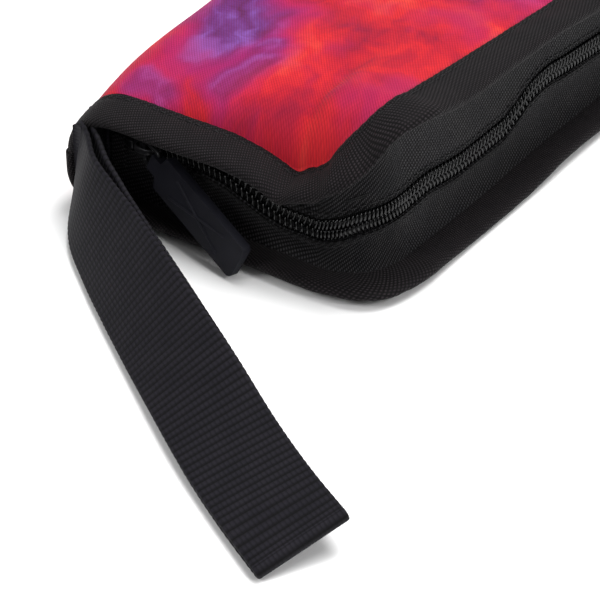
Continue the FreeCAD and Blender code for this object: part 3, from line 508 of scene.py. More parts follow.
def edge_route(side, step):
    """Places, outward and facing directions and walked length of one half's cover edge."""
    upper = side > 0
    bend = ROUND_TOP if upper else ROUND_BOTTOM
    ends = []
    for far in (False, True):
        end_y = BAG_LONG / 2 - FLANGE if far else NEAR_Y + FLANGE
        high = float(smooth(SPINE_TOP, BAG_LONG if far else 0))
        centre_z = high - bend if upper else bend + LOWER_SEAM
        middle = high / 2
        rows = []
        for z in np.linspace(middle, centre_z, 6)[:-1]:
            rows.append(((SPINE_X, end_y, z), (-1, 0, 0)))
        for turn in np.linspace(0, math.pi / 2, 14)[:-1]:
            lift = math.sin(turn) * (1 if upper else -1)
            rows.append(((SPINE_X + bend - bend * math.cos(turn), end_y, centre_z + bend * lift),
                         (-math.cos(turn), 0, lift)))
        out = (0, 1 if far else -1, 0)
        if far:
            rows = rows[::-1]
        ends.append([(place, out, face) for place, face in rows])
    first, last = ends
    walk = np.arange(bend, WALK - bend + step / 2, step)
    x, y, ox, oy = outline(walk, FLANGE)
    if upper:
        z = top_height(walk)
    else:
        z = LOWER_SEAM + 0.25 * ripple(walk, 90, 3) * np.clip((walk - 20) / 40, 0, 1)
    main = [((x[i], y[i], z[i]), (ox[i], oy[i], 0), (0, 0, 1 if upper else -1))
            for i in range(len(walk))]
    rows = first + main + last
    places = np.array([r[0] for r in rows])
    outs = np.array([r[1] for r in rows], float)
    faces = np.array([r[2] for r in rows], float)
    length = np.concatenate([[0], np.cumsum(np.linalg.norm(np.diff(places, axis=0), axis=1))])
    outer_walk = np.concatenate([np.zeros(len(first)), walk, np.full(len(last), WALK)])
    return places, outs, faces, length, outer_walk


print("upper seam", round(edge_route(1, 1.0)[3][-1]), "mm long")

# %% [markdown]
# The cover is one printed cloth over foam, so it is crowned: it rises quickly from the seam and
# then flattens. Each row of points starts on the seam at the zip side, crosses the panel and
# rolls down the spine to its middle, where the other half's cloth meets it.

# %% The shape of a cover
def cover_rows():
    """Row places along the bag, with each row's zip-side end and its walked distance."""
    turns = np.linspace(0, math.pi / 2, 18)
    radius = CORNER - FLANGE
    rows = []
    for turn in turns:
        rows.append((NEAR_Y + CORNER - radius * math.cos(turn),
                     BAG_WIDE / 2 - CORNER + radius * math.sin(turn), STRAIGHT_END + CORNER * turn))
    for y in np.linspace(NEAR_Y + CORNER, -NEAR_Y - CORNER, 150)[1:-1]:
        rows.append((y, BAG_WIDE / 2 - FLANGE, STRAIGHT_END + ARC + y - NEAR_Y - CORNER))
    rows += [(-y, x, WALK - walk) for y, x, walk in rows[:len(turns)][::-1]]
    return rows


def cover_grid(upper, sink=0.0, shrink=0.0):
    """Points of a cover's outer face, or of a layer sunk below it."""
    bend = ROUND_TOP if upper else ROUND_BOTTOM
    tangent = SPINE_X + bend
    columns = PANEL_COLUMNS
    rows, uvs = [], []
    near_edge = BAG_WIDE / 2 - CORNER
    for y, end_x, walk in cover_rows():
        along = y - NEAR_Y
        y = y * (1 - shrink / (BAG_LONG / 2 - FLANGE))
        end_x = end_x - shrink
        share = np.linspace(1, 0, columns)
        x = tangent + (end_x - tangent) * share
        from_end = max(min(along, BAG_LONG - along) - FLANGE, 0.0)
        to_side = end_x - x
        if upper:
            side_z = float(smooth(TOP_EDGE, walk))
            spine_z = float(smooth(SPINE_TOP, along))
            z = spine_z + (side_z - spine_z) * share ** 1.15
            close = math.exp(-(from_end / 26.0) ** 2)
            near = along < BAG_LONG / 2
            at_end = x - SPINE_X if near else WALK - (x - SPINE_X)
            start = float(smooth(SPINE_TOP, 0 if near else BAG_LONG))
            stop = float(smooth(TOP_EDGE, STRAIGHT_END if near else WALK - STRAIGHT_END))
            first = np.clip((x - tangent) / (near_edge - tangent), 0, 1)
            straight = start + (stop - start) * first ** 1.15
            held = np.clip((near_edge + 1 - x) / 6, 0, 1)
            z = z + (smooth(TOP_EDGE, at_end) - straight) * close * held
            crown = 5.0 * (1 - math.exp(-from_end / 13.0)) * (1 - np.exp(-to_side / 13.0))
            z = z + crown * np.clip((58 - z) / 9, 0, 1)
            wrinkle = 0.28 * ripple(x * 0.8 + along * 0.6, 34, 11) * np.exp(-to_side / 25)
            wrinkle += 0.35 * ripple(along - 0.5 * x, 55, 12)
            z = z + wrinkle * min(from_end / 10, 1) * np.clip(to_side / 8, 0, 1)
            z = z - sink
        else:
            z = LOWER_SEAM - 0.6 * (1 - math.exp(-from_end / 8.0)) * (1 - np.exp(-to_side / 8.0))
            z = z + sink
        points = [(px, y, pz) for px, pz in zip(x, z)]
        reach = [end_x - px for px in x]
        panel_end = reach[-1]
        top_z = points[-1][2]
        inner = bend - sink
        if upper:
            centre_z = top_z - inner
        else:
            centre_z = top_z + inner
        middle = float(smooth(SPINE_TOP, along)) / 2
        for turn in np.linspace(0, math.pi / 2, 12)[1:]:
            lift = math.cos(turn) * inner * (1 if upper else -1)
            points.append((tangent - inner * math.sin(turn), y, centre_z + lift))
            reach.append(panel_end + bend * turn)
        bend_end = reach[-1]
        for level in np.linspace(centre_z, middle, 8)[1:]:
            points.append((SPINE_X + sink, y, level))
            reach.append(bend_end + abs(level - centre_z))
        rows.append(points)
        half = reach[-1]
        sign = 1 if upper else -1
        uvs.append([(y, sign * (half - r)) for r in reach])
    return np.array(rows), np.array(uvs)


print("rows of points along a cover:", len(cover_rows()))

# %% [markdown]
# On the real bag both covers bend where the spine folds. Here each is one fixed skin over its
# panel and the spine strip past the bend; it is tied to neither half, so it does not open out.


def spine_blend(piece, upper):
    """Bakes the piece's placement into its points; the piece is not tied to either half."""
    if upper:
        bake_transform(piece)
    else:
        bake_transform(piece)


def cloth_area(grid):
    a = grid[1:, 1:] - grid[:-1, :-1]
    b = grid[1:, :-1] - grid[:-1, 1:]
    return float(np.linalg.norm(np.cross(a, b), axis=2).sum() / 2) / 1e6


def sew_cover(name, upper, nodes_replaced):
    grid, uv = cover_grid(upper)
    piece = cloth(name, grid, uv, CLOTH, PRINTED, None, not upper)
    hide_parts(*nodes_replaced)
    spine_blend(piece, upper)
    return grid


top_grid = sew_cover("upper_cover", True, ["top_cover", "spine_panel"])
sew_cover("lower_cover", False, ["bottom_cover"])
print("highest point of the cover", round(float(top_grid[:, :, 2].max()), 1), "mm")
print("cover cloth", round(cloth_area(top_grid) * 1e4), "square cm above")

# %% [markdown]
# The raw edges of cover, foam and gusset are held in a tape of black pique, folded over them.
# The folded tape stands out as a flange. It droops a little, puckers where it turns the
# corners, and its inner edge is drawn into small scallops by the stitches.

# %% The binding tapes
BOTTOM_LIFT = [(0, 1.4), (40, 1.7), (80, 1.8), (110, 1.0), (140, 0.3), (165, 0.5), (190, 1.9),
               (220, 1.2), (300, 0.6), (380, 1.5), (460, 0.7), (540, 1.2), (632, 1.6)]
TAPE_THICK = 0.7
TAPE_SECTION = [(11.0, 0.35), (10.2, 0.55), (9.5, 0.30), (8.8, 0.62), (7.2, 0.85), (5.0, 0.90),
                (2.8, 0.75), (1.2, 0.35), (0.35, -0.30), (0.0, -1.20), (0.35, -2.10),
                (1.2, -2.60), (3.6, -2.80), (6.5, -2.85), (9.0, -2.75), (11.0, -2.60)]


def flange_frame(side):
    """Route of a flange with its tilted outward and facing directions."""
    places, outs, faces, length, walk = edge_route(side, 0.75)
    droop = smooth(TOP_DROOP if side > 0 else BOTTOM_LIFT, walk) / FLANGE
    bent = np.clip(np.abs(faces[:, 2]), 0, 1)
    droop = droop * (0.35 + 0.65 * bent)
    tilt = np.arcsin(np.clip(droop, -0.5, 0.5))[:, None]
    out = outs * np.cos(tilt) - faces * np.sin(tilt)
    face = faces * np.cos(tilt) + outs * np.sin(tilt)
    return places, out, face, length, walk


def tape_section():
    """The folded tape's own section: round the outside, then back along the inside."""
    outer = np.array(TAPE_SECTION)
    ahead = np.gradient(outer, axis=0)
    ahead /= np.linalg.norm(ahead, axis=1, keepdims=True)
    inward = np.stack([-ahead[:, 1], ahead[:, 0]], axis=1)
    return np.concatenate([outer, (outer + inward * TAPE_THICK)[::-1]])


def sew_binding(name, side, nodes_replaced):
    places, out, face, length, walk = flange_frame(side)
    section = tape_section()
    last = len(section) - 1
    corner = np.exp(-((walk - STRAIGHT_END - ARC / 2) / 17) ** 2)
    corner += np.exp(-((walk - WALK + STRAIGHT_END + ARC / 2) / 17) ** 2)
    rings = np.empty((len(places), len(section), 3))
    uvs = np.empty((len(places), len(section), 2))
    around = np.concatenate([[0], np.cumsum(np.linalg.norm(np.diff(section, axis=0), axis=1))])
    scallop = 0.20 * np.abs(np.sin(length * math.pi / 2.9))
    slack = 0.10 * ripple(length, 30, 21 + side) + 0.06 * ripple(length, 9, 23 + side)
    pucker = 0.32 * corner * np.sin(length * 2 * math.pi / 5.6)
    width = 0.18 * ripple(length, 70, 25 + side)
    if side > 0:
        width = width - 3.2 * np.exp(-((walk - 90) / 7.5) ** 2)
    else:
        for middle in (STRAIGHT_END + ARC / 2, WALK - STRAIGHT_END - ARC / 2):
            width = width - 3.4 * np.exp(-((walk - middle) / 10) ** 2)
    for k, (a, b) in enumerate(section):
        inner = a / FLANGE
        a_here = a + scallop * (k in (0, 1, last, last - 1)) + width * (1 - inner)
        lift = slack * (1 - abs(inner - 0.55)) + pucker * (1 - inner) * (b > -1.5)
        if side < 0:
            lift = np.minimum(lift, 0.0)
        b_here = b * (0.94 if side < 0 else 1.0) + lift
        rings[:, k] = places + out * (FLANGE - a_here)[:, None] + face * b_here[:, None]
        uvs[:, k, 0] = length
        uvs[:, k, 1] = around[k]
    if side < 0:
        rings[:, :, 2] = np.maximum(rings[:, :, 2], 0.05)
    order = slice(None) if side > 0 else slice(None, None, -1)
    piece = band(name, rings[:, order], uvs[:, order], BINDING, None)
    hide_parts(*nodes_replaced)
    spine_blend(piece, side > 0)
    return piece


upper_tape = sew_binding("upper_edge_tape", 1,
                         ["upper_binding", "spine_binding_front", "spine_binding_rear"])
lower_tape = sew_binding("lower_edge_tape", -1, ["lower_binding"])
print("edge tapes sewn:", upper_tape.name, lower_tape.name)

# %% [markdown]
# Lockstitching shows as a row of short raised threads with a gap between them. One maker lays
# them as small rods along any route and joins a whole row into one mesh.

# %% Rows of stitches
def stitch_row(name, places, normal, pitch, length, radius, body=None, upper=None):
    """Raised stitches along a route of places, pressed into the face that the normal leaves."""
    step = np.linalg.norm(np.diff(places, axis=0), axis=1)
    run = np.concatenate([[0], np.cumsum(step)])
    starts = np.arange(pitch / 2, run[-1] - length, pitch)
    sides = 6
    angle = np.linspace(0, 2 * math.pi, sides, endpoint=False)
    points, faces, uvs = [], [], []
    for start in starts:
        at = np.array([start, start + length * 0.25, start + length * 0.75, start + length])
        centre = np.stack([np.interp(at, run, places[:, i]) for i in range(3)], axis=1)
        up = np.stack([np.interp(at, run, normal[:, i]) for i in range(3)], axis=1)
        up /= np.linalg.norm(up, axis=1, keepdims=True)
        ahead = centre[-1] - centre[0]
        ahead /= np.linalg.norm(ahead)
        side = np.cross(up, ahead)
        base = len(points)
        for k in range(4):
            sink = -0.25 if k in (0, 3) else 0.12
            for a in angle:
                spot = (centre[k] + up[k] * (radius * math.sin(a) + sink)
                        + side[k] * radius * math.cos(a))
                points.append(spot)
                uvs.append((at[k], a))
        faces += grid_faces(4, sides, base, False, closed=True)
        faces.append(tuple(base + i for i in range(sides)))
        faces.append(tuple(base + 3 * sides + i for i in reversed(range(sides))))
    piece = finish_mesh(name, points, faces, uvs, THREAD, body)
    if upper is not None:
        spine_blend(piece, upper)
    return piece


def binding_stitches(side):
    places, out, face, length, walk = flange_frame(side)
    row = places + out * (FLANGE - 9.5) + face * 0.36
    if side < 0:
        row[:, 2] = np.maximum(row[:, 2], 0.3)
    name = "upper_edge_stitches" if side > 0 else "lower_edge_stitches"
    return stitch_row(name, row, face, 2.9, 2.0, 0.17, upper=side > 0)


edge_stitches = [binding_stitches(1), binding_stitches(-1)]
print("stitch rows on the tapes:", len(edge_stitches))

# %% [markdown]
# The wall of the bag is two strips of black cloth, one above the zip and one below. The upper
# strip is cut too tall for the sagging near end, so it bellies inward and folds there, and it
# puckers round the corner. Each strip turns its edge under along the zip.

# %% The walls above and below the zip
def zip_height(walk):
    return smooth(ZIP_LINE, walk)


def seam_height(upper, walk):
    """Height of the panel seam, with the round of the spine at both ends of the walk."""
    d = np.minimum(walk, WALK - walk)
    bend = ROUND_TOP if upper else ROUND_BOTTOM
    dip = bend - np.sqrt(np.clip(bend ** 2 - np.clip(bend - d, 0, None) ** 2, 0, None))
    return top_height(walk) - dip if upper else LOWER_SEAM + dip


def wall_grid(upper, start=2.0, step=0.9, rows=15):
    walk = np.arange(start, WALK - start + step / 2, step)
    seam = seam_height(upper, walk)
    droop = smooth(TOP_DROOP, walk) if upper else smooth(BOTTOM_LIFT, walk)
    zip_z = zip_height(walk)
    if upper:
        high = seam - 2.2 - droop * 0.12
        low = zip_z + 3.9 + 0.15 * ripple(walk, 26, 31)
        high = np.maximum(high, low + 0.6)
    else:
        low = seam + 2.0 + droop * 0.12
        high = zip_z - 3.9 + 0.15 * ripple(walk, 26, 32)
        low = np.minimum(low, high - 0.6)
    tall = high - low
    corner = np.exp(-((walk - STRAIGHT_END - ARC * 0.55) / 24) ** 2)
    corner += np.exp(-((WALK - walk - STRAIGHT_END - ARC * 0.55) / 24) ** 2)
    grid = np.empty((len(walk), rows, 3))
    uv = np.empty((len(walk), rows, 2))
    for j, share in enumerate(np.linspace(0, 1, rows)):
        z = low + tall * share
        belly = math.sin(share * math.pi)
        near_zip = 1 - share if upper else share
        near_seam = 1 - near_zip
        inset = FLANGE - 0.7 - 0.9 * near_seam ** 4
        if upper:
            slack = 0.7 + 0.05 * tall + 0.9 * corner
            fold = 0.42 * ripple(walk + z * 0.35, 21, 33) * (0.35 + 0.65 * corner)
            deep = 0.20 * ripple(walk - z * 0.5, 8, 34) * (0.3 + corner) * near_seam ** 2
        else:
            slack = 0.5 + 0.035 * tall
            fold = 0.25 * ripple(walk + z * 0.2, 30, 35)
            deep = 0.12 * ripple(walk - z * 0.3, 9, 36) * near_seam ** 2
        lean = belly * slack + (fold + deep) * belly ** 0.6 * np.clip(tall / 12, 0.15, 1)
        inset = inset + lean
        x, y, ox, oy = outline(walk, 0.0)
        grid[:, j, 0] = x - ox * inset
        grid[:, j, 1] = y - oy * inset
        grid[:, j, 2] = z
        uv[:, j, 0] = walk
        uv[:, j, 1] = z
    return grid, uv


def sew_wall(name, upper, node):
    grid, uv = wall_grid(upper)
    piece = cloth(name, grid, uv, CLOTH, GUSSET, None)
    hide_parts(node)
    spine_blend(piece, upper)
    return grid


upper_wall_grid = sew_wall("upper_wall", True, "upper_gusset")
lower_wall_grid = sew_wall("lower_wall", False, "lower_gusset")
print("wall heights", round(float(np.ptp(upper_wall_grid[:, :, 2])), 1), "mm at most above")

# %% [markdown]
# The zip is two tapes with a nylon coil sewn along each. A coil is one stiff thread wound flat,
# and the loops of the two coils mesh along the middle of the zip. Each loop is modelled, so
# that the row catches the light as beads do.

# %% The zip tapes and coils
ZIP_PITCH = 1.75
ZIP_ENDS = 16


def zip_frame(walk, inset):
    """Zip line places, outward and across directions, at an inset."""
    x, y, ox, oy = outline(walk, inset)
    z = zip_height(walk)
    return np.stack([x, y, z], axis=1), np.stack([ox, oy, np.zeros_like(ox)], axis=1)


def zip_tape(name, upper):
    walk = np.arange(6.0, WALK - 5.5, 1.0)
    centre, out = zip_frame(walk, FLANGE + 0.35)
    rows = []
    uvs = []
    for across in (0.15, 1.2, 2.4, 3.6, 5.0, 6.4, 7.6):
        offset = across if upper else -across
        rows.append(centre + np.array([0, 0, offset]) - out * 0.06 * max(across - 3.6, 0))
        uvs.append(np.stack([walk, np.full_like(walk, offset)], axis=1))
    if not upper:
        rows, uvs = rows[::-1], uvs[::-1]
    grid = np.stack(rows, axis=1)
    piece = cloth(name, grid, np.stack(uvs, axis=1), 0.45, TAPE, None)
    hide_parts("upper_zip_tape" if upper else "lower_zip_tape")
    spine_blend(piece, upper)
    return piece


def zip_coil(name, upper):
    """One coil of the zip: flat loops of wire that catch the light on their crowns."""
    per_turn = 12
    count = int((WALK - 2 * ZIP_ENDS) / ZIP_PITCH * per_turn)
    phase = np.arange(count) * 2 * math.pi / per_turn
    walk = ZIP_ENDS + np.arange(count) * ZIP_PITCH / per_turn + (0.0 if upper else ZIP_PITCH / 2)
    centre, out = zip_frame(walk, FLANGE - 0.45)
    sign = 1 if upper else -1
    across = sign * (1.30 - 1.60 * np.cos(phase))
    depth = 0.62 * np.sin(phase) - 0.25 * np.abs(np.cos(phase))
    line = centre + out * depth[:, None]
    line[:, 2] += across
    ahead = np.gradient(line, axis=0)
    ahead /= np.linalg.norm(ahead, axis=1, keepdims=True)
    side = np.cross(ahead, out)
    side /= np.linalg.norm(side, axis=1, keepdims=True)
    up = np.cross(side, ahead)
    sides = 7
    angle = np.linspace(0, 2 * math.pi, sides, endpoint=False)
    rings = line[:, None] + 0.36 * (side[:, None] * np.cos(angle)[None, :, None]
                                    + up[:, None] * np.sin(angle)[None, :, None])
    uv = np.zeros((count, sides, 2))
    uv[:, :, 0] = walk[:, None]
    piece = band(name, rings, uv, COIL, "top_half" if upper else "bottom_half")
    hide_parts("upper_zip_coil" if upper else "lower_zip_coil")
    return piece


for make, part in ((zip_tape, "_tape"), (zip_coil, "_coil")):
    make("upper" + part, True)
    make("lower" + part, False)
print("zip loops on each side:", int((WALK - 2 * ZIP_ENDS) / ZIP_PITCH))

# %% [markdown]
# Each wall turns under along the zip and is sewn to it with one row of stitches.

# %% Stitches beside the zip
def zip_stitches(upper, away, name):
    grid = upper_wall_grid if upper else lower_wall_grid
    row, normal = [], []
    normals = grid_normals(grid)
    for line, turned in zip(grid, normals):
        z = line[0, 2] + away if upper else line[-1, 2] - away
        row.append([np.interp(z, line[:, 2], line[:, 0]), np.interp(z, line[:, 2], line[:, 1]), z])
        normal.append(turned[2 if upper else -3])
    row, normal = np.array(row[6:-6]), np.array(normal[6:-6])
    return stitch_row(name, row + normal * 0.05, normal, 2.6, 1.9, 0.2, upper=upper)


wall_stitches = [zip_stitches(True, 1.1, "upper_wall_stitches"),
                 zip_stitches(False, 1.1, "lower_wall_stitches")]
print("stitch rows beside the zip:", len(wall_stitches))

# %% [markdown]
# Short tabs of folded cloth cover the two ends of the zip beside the spine, and a small metal
# staple across the coils stops the slider there.

# %% Zip ends and stops
def pillow(name, low, high, finish, body, soft):
    """A soft-cornered block between two corners, rounded like folded cloth or cast metal."""
    centre, half = (low + high) / 2, (high - low) / 2
    n = 10
    line = np.linspace(-1, 1, n)
    line = np.sign(line) * np.abs(line) ** 0.7
    points, faces, uvs = [], [], []
    for axis in range(3):
        for sign in (-1, 1):
            base = len(points)
            for a in line:
                for b in line:
                    spot = np.zeros(3)
                    spot[axis] = sign
                    spot[(axis + 1) % 3] = a
                    spot[(axis + 2) % 3] = b
                    core = np.clip(spot * half, -(half - soft), half - soft)
                    away = spot * half - core
                    reach = np.linalg.norm(away)
                    if reach > 0:
                        away = away / reach * min(reach, soft)
                    points.append(centre + core + away)
                    uvs.append(((centre + spot * half)[0], (centre + spot * half)[2]))
            faces += grid_faces(n, n, base, sign < 0)
    piece = finish_mesh(name, points, faces, uvs, finish, body)
    edit = piece.modifiers.new("close", "WELD")
    edit.merge_threshold = 0.00001
    return piece


for end in ("front", "rear"):
    low, high = box_mm("zip_end_tab_" + end)
    tab_cover = pillow("zip_end_cover_" + end, low - (0, 0.1, 0.4), high + (0, 0.1, 0.4), GUSSET,
                       "bottom_half", soft=0.5)
    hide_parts("zip_end_tab_" + end)
    low, high = box_mm("zip_stop_" + end)
    stop = pillow("zip_staple_" + end, low - 0.05, high + 0.05, ENAMEL, "bottom_half",
                  soft=0.6)
    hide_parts("zip_stop_" + end)
print("zip ends covered:", 2)

# %% [markdown]
# Under each cover lie a sheet of foam and a thin lining. They roll down the spine with the
# cover, so the inside of the open bag is one soft surface. The lower lining carries a long
# sleeve for sticks with a stitched hem, and the upper one a net pocket for small things.

# %% Foam and linings
def net_cloth():
    nodes = Nodes("mesh_cloth")
    place, along, across = cloth_axes(nodes, 45)
    strands = nodes.math("MAXIMUM", nodes.thread(along, 2.2), nodes.thread(across, 2.2))
    solid = nodes.math("GREATER_THAN", strands, 0.82)
    nodes.link(solid, nodes.shader.inputs["Alpha"])
    nodes.shader.inputs["Base Color"].default_value = (0.02, 0.02, 0.021, 1)
    nodes.shader.inputs["Roughness"].default_value = 0.6
    nodes.shader.inputs["Sheen Weight"].default_value = 0.2
    nodes.bump(strands, 0.0002)
    return nodes.material


NET = net_cloth()
FOAM = hard_finish("foam", (0.06, 0.06, 0.062), 0.9, grain=700, depth=0.00015)
FOAM_SINK = 0.85
FOAM_THICK = 3.5
LINING_SINK = 4.4
lining_grids = {}
for upper, word in ((True, "upper"), (False, "lower")):
    half_word = "top" if upper else "bottom"
    grid, uv = cover_grid(upper, sink=FOAM_SINK, shrink=0.4)
    pad = cloth(word + "_foam", grid, uv, FOAM_THICK, FOAM, None, not upper)
    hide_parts(half_word + "_foam", *(["spine_foam"] if upper else []))
    spine_blend(pad, upper)
    grid, uv = cover_grid(upper, sink=LINING_SINK, shrink=0.6)
    lining = cloth(word + "_lining", grid, uv, 0.5, LINING, None, not upper)
    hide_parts(half_word + "_lining", *(["spine_lining"] if upper else []))
    spine_blend(lining, upper)
    lining_grids[upper] = grid
print("foam", FOAM_THICK, "mm thick under each cover")

# %% [markdown]
# A pocket lies on its lining and is sewn down on three sides. Its hem is the same cloth turned
# over twice, so it stands a little proud. Two rows of stitches divide the stick sleeve.

# %% The pockets inside
def lining_height(upper, x, y):
    """Height of a lining's inner face at plan places."""
    grid = lining_grids[upper][:, :PANEL_COLUMNS]
    rows = grid[:, 0, 1]
    order = np.argsort(rows)
    place = np.interp(y, rows[order], np.arange(len(rows))[order].astype(float))
    low = np.floor(place).astype(int)
    high = np.minimum(low + 1, len(rows) - 1)
    value = []
    for k, xx, lo, hi in zip(place, x, low, high):
        a = np.interp(xx, grid[lo, ::-1, 0], grid[lo, ::-1, 2])
        b = np.interp(xx, grid[hi, ::-1, 0], grid[hi, ::-1, 2])
        value.append(a + (b - a) * (k - lo))
    return np.array(value) + (-0.5 if upper else 0.5)


def pocket(name, upper, node, hem_node, finish, seams, puff):
    low, high = box_mm(node)
    columns, rows = 61, max(int((high[1] - low[1]) / 4), 24)
    xs = np.linspace(low[0], high[0], columns)
    ys = np.linspace(low[1], high[1], rows)
    sign = -1 if upper else 1
    body = "top_half" if upper else "bottom_half"
    grid = np.empty((rows, columns, 3))
    edges = np.array([low[0]] + seams + [high[0]])
    k = np.clip(np.searchsorted(edges, xs) - 1, 0, len(edges) - 2)
    share = (xs - edges[k]) / (edges[k + 1] - edges[k])
    arch = np.sin(np.clip(share, 0, 1) * math.pi) ** 0.8
    for i, y in enumerate(ys):
        z = lining_height(upper, xs, np.full(columns, y))
        closed = 1 - math.exp(-(y - low[1]) / 14.0)
        slack = 0.25 * ripple(xs + y * 0.4, 26, 41)
        grid[i, :, 0] = xs
        grid[i, :, 1] = y
        grid[i, :, 2] = z + sign * (0.1 + 0.65 + arch * closed * (puff + slack))
    uv = grid[:, :, :2].copy()
    piece = cloth(name, grid, uv, 0.6, finish, body, not upper)
    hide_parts(node)
    folds = np.linspace(0, 8, 7)
    last = grid[-1]
    rings = []
    for fold in folds:
        rings.append(last + np.array([0, -fold, 0]))
    hem = np.array(rings)
    for row in hem:
        row[:, 2] = np.array([np.interp(row[0, 1], ys, grid[:, j, 2]) for j in range(columns)])
    hem[:, :, 2] += sign * (0.62 + 0.15 * np.sin(np.linspace(0, math.pi, 7)))[:, None]
    hem_uv = hem[:, :, :2].copy()
    hem_piece = cloth(name + "_hem", hem[::-1], hem_uv[::-1], 0.55, LINING, body,
                      not upper)
    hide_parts(hem_node)
    normal = np.tile([0.0, 0.0, float(sign)], (columns, 1))
    stitch_row(name + "_hem_stitches", hem[-2] + [0, 0, sign * 0.1], normal, 2.8, 2.0, 0.2,
               body)
    for number, seam in enumerate(seams):
        line = np.stack([np.full(rows, seam), ys,
                         np.array([np.interp(seam, xs, g[:, 2]) for g in grid])], axis=1)
        line[:, 2] += sign * 0.12
        stitch_row("%s_seam_%d" % (name, number + 1), line, np.tile([0.0, 0.0, float(sign)],
                   (rows, 1)), 2.8, 2.0, 0.2, body)
    return piece


stick_sleeve = pocket("stick_sleeve", False, "stick_pocket", "stick_pocket_hem", LINING,
                      [-14.0, 10.0], 1.3)
net_pocket = pocket("net_pocket", True, "mesh_pocket", "mesh_pocket_hem", NET, [],
                    0.9)
print("pockets:", stick_sleeve.name, net_pocket.name)

# %% [markdown]
# The slider is die-cast. Two shield-shaped plates hold the coils between them, their long edges
# turned in as lips, and a low bridge across the front holds the pull.

# %% The zip slider
def soft_plate(outline_points, back, front, bevel, place):
    """Points and faces of a flat plate with a rounded front edge, placed by a function."""
    outline_points = np.array(outline_points, float)
    middle = outline_points.mean(axis=0)
    levels = [(back, bevel), (back + bevel, 0.3 * bevel), (back + 1.6 * bevel, 0.0),
              (front - 1.6 * bevel, 0.0), (front - bevel, 0.3 * bevel), (front, bevel)]
    rings = []
    away = outline_points - middle
    reach = np.linalg.norm(away, axis=1, keepdims=True)
    for depth, inset in levels:
        ring = middle + away * (1 - inset / reach)
        rings.append([place(a, b, depth) for a, b in ring])
    return np.array(rings)


def round_corners(corners, radius, cuts=4):
    """A closed outline with every corner rounded."""
    corners = np.array(corners, float)
    result = []
    for k, corner in enumerate(corners):
        before = corners[k - 1] - corner
        after = corners[(k + 1) % len(corners)] - corner
        before /= np.linalg.norm(before)
        after /= np.linalg.norm(after)
        start, stop = corner + before * radius, corner + after * radius
        for t in np.linspace(0, 1, cuts + 1):
            result.append((1 - t) ** 2 * start + 2 * t * (1 - t) * corner + t * t * stop)
    return result


def join_parts(name, parts, finish, body, angle=35):
    """One mesh from several closed ring sweeps."""
    points, faces = [], []
    for rings in parts:
        rows, columns = rings.shape[:2]
        base = len(points)
        points += rings.reshape(-1, 3).tolist()
        faces += grid_faces(rows, columns, base, False, closed=True)
        faces.append(tuple(base + i for i in range(columns)))
        faces.append(tuple(base + (rows - 1) * columns + i for i in reversed(range(columns))))
    uvs = np.array(points)[:, [0, 2]]
    return finish_mesh(name, points, faces, uvs, finish, body, angle)


def tube_rings(line, radius, sides=12, flat=1.0, up=(0, 0, 1), closed=False):
    """Rings of a round wire along a line of points."""
    line = np.array(line, float)
    ahead = np.gradient(line, axis=0)
    if closed:
        ahead = np.roll(line, -1, axis=0) - np.roll(line, 1, axis=0)
    ahead /= np.linalg.norm(ahead, axis=1, keepdims=True)
    up = np.array(up, float)
    side = np.cross(ahead, up)
    side /= np.maximum(np.linalg.norm(side, axis=1, keepdims=True), 1e-6)
    top = np.cross(side, ahead)
    angle = np.linspace(0, 2 * math.pi, sides, endpoint=False)
    return line[:, None] + radius * (side[:, None] * np.cos(angle)[None, :, None]
                                     + flat * top[:, None] * np.sin(angle)[None, :, None])


low, high = box_mm("slider_body")
middle_z = float(zip_height(22.0))
mid_x = (low[0] + high[0]) / 2
half_x = (high[0] - low[0]) / 2
shield = [(mid_x - half_x, middle_z - 3.0), (mid_x - half_x + 2.0, middle_z - 4.2),
          (mid_x + half_x - 1.0, middle_z - 3.3), (mid_x + half_x, middle_z - 2.6),
          (mid_x + half_x, middle_z + 2.6), (mid_x + half_x - 1.0, middle_z + 3.3),
          (mid_x - half_x + 2.0, middle_z + 4.2), (mid_x - half_x, middle_z + 3.0)]
shield = round_corners(shield, 0.8)


def stand(a, b, depth):
    return (a, depth, b)


parts = [soft_plate(shield, low[1], low[1] + 1.3, 0.25, stand),
         soft_plate(shield, high[1] - 1.1, high[1], 0.25, stand)]
for sign in (-1, 1):
    strip = [(mid_x - half_x + 1.4, middle_z + sign * 4.05),
             (mid_x + half_x - 0.7, middle_z + sign * 3.2),
             (mid_x + half_x - 0.9, middle_z + sign * 2.55),
             (mid_x - half_x + 1.6, middle_z + sign * 3.4)]
    if sign < 0:
        strip = strip[::-1]
    parts.append(soft_plate(round_corners(strip, 0.15), low[1] + 1.0, low[1] + 1.9, 0.12, stand))
wedge = round_corners([(mid_x - half_x + 0.6, middle_z - 0.9), (mid_x - half_x + 3.6, middle_z),
                       (mid_x - half_x + 0.6, middle_z + 0.9)], 0.3)
parts.append(soft_plate(wedge, low[1] + 1.0, high[1] - 0.8, 0.1, stand))
slider = join_parts("slider", [p[:, ::-1] for p in parts], ENAMEL, "slider")
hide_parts("slider_body")
b_low, b_high = box_mm("slider_bridge")
feet = [(b_low[0] + 0.4, b_high[1] + 0.3), (b_low[0] + 0.5, b_high[1] - 1.2),
        (b_low[0] + 1.3, b_low[1] + 0.75), (b_low[0] + 2.4, b_low[1] + 0.45),
        (b_high[0] - 2.4, b_low[1] + 0.45), (b_high[0] - 1.3, b_low[1] + 0.75),
        (b_high[0] - 0.5, b_high[1] - 1.2), (b_high[0] - 0.4, b_high[1] + 0.3)]
run = np.linspace(0, len(feet) - 1, 36)
arch_x = np.interp(run, range(len(feet)), [f[0] for f in feet])
arch_y = np.interp(run, range(len(feet)), [f[1] for f in feet])
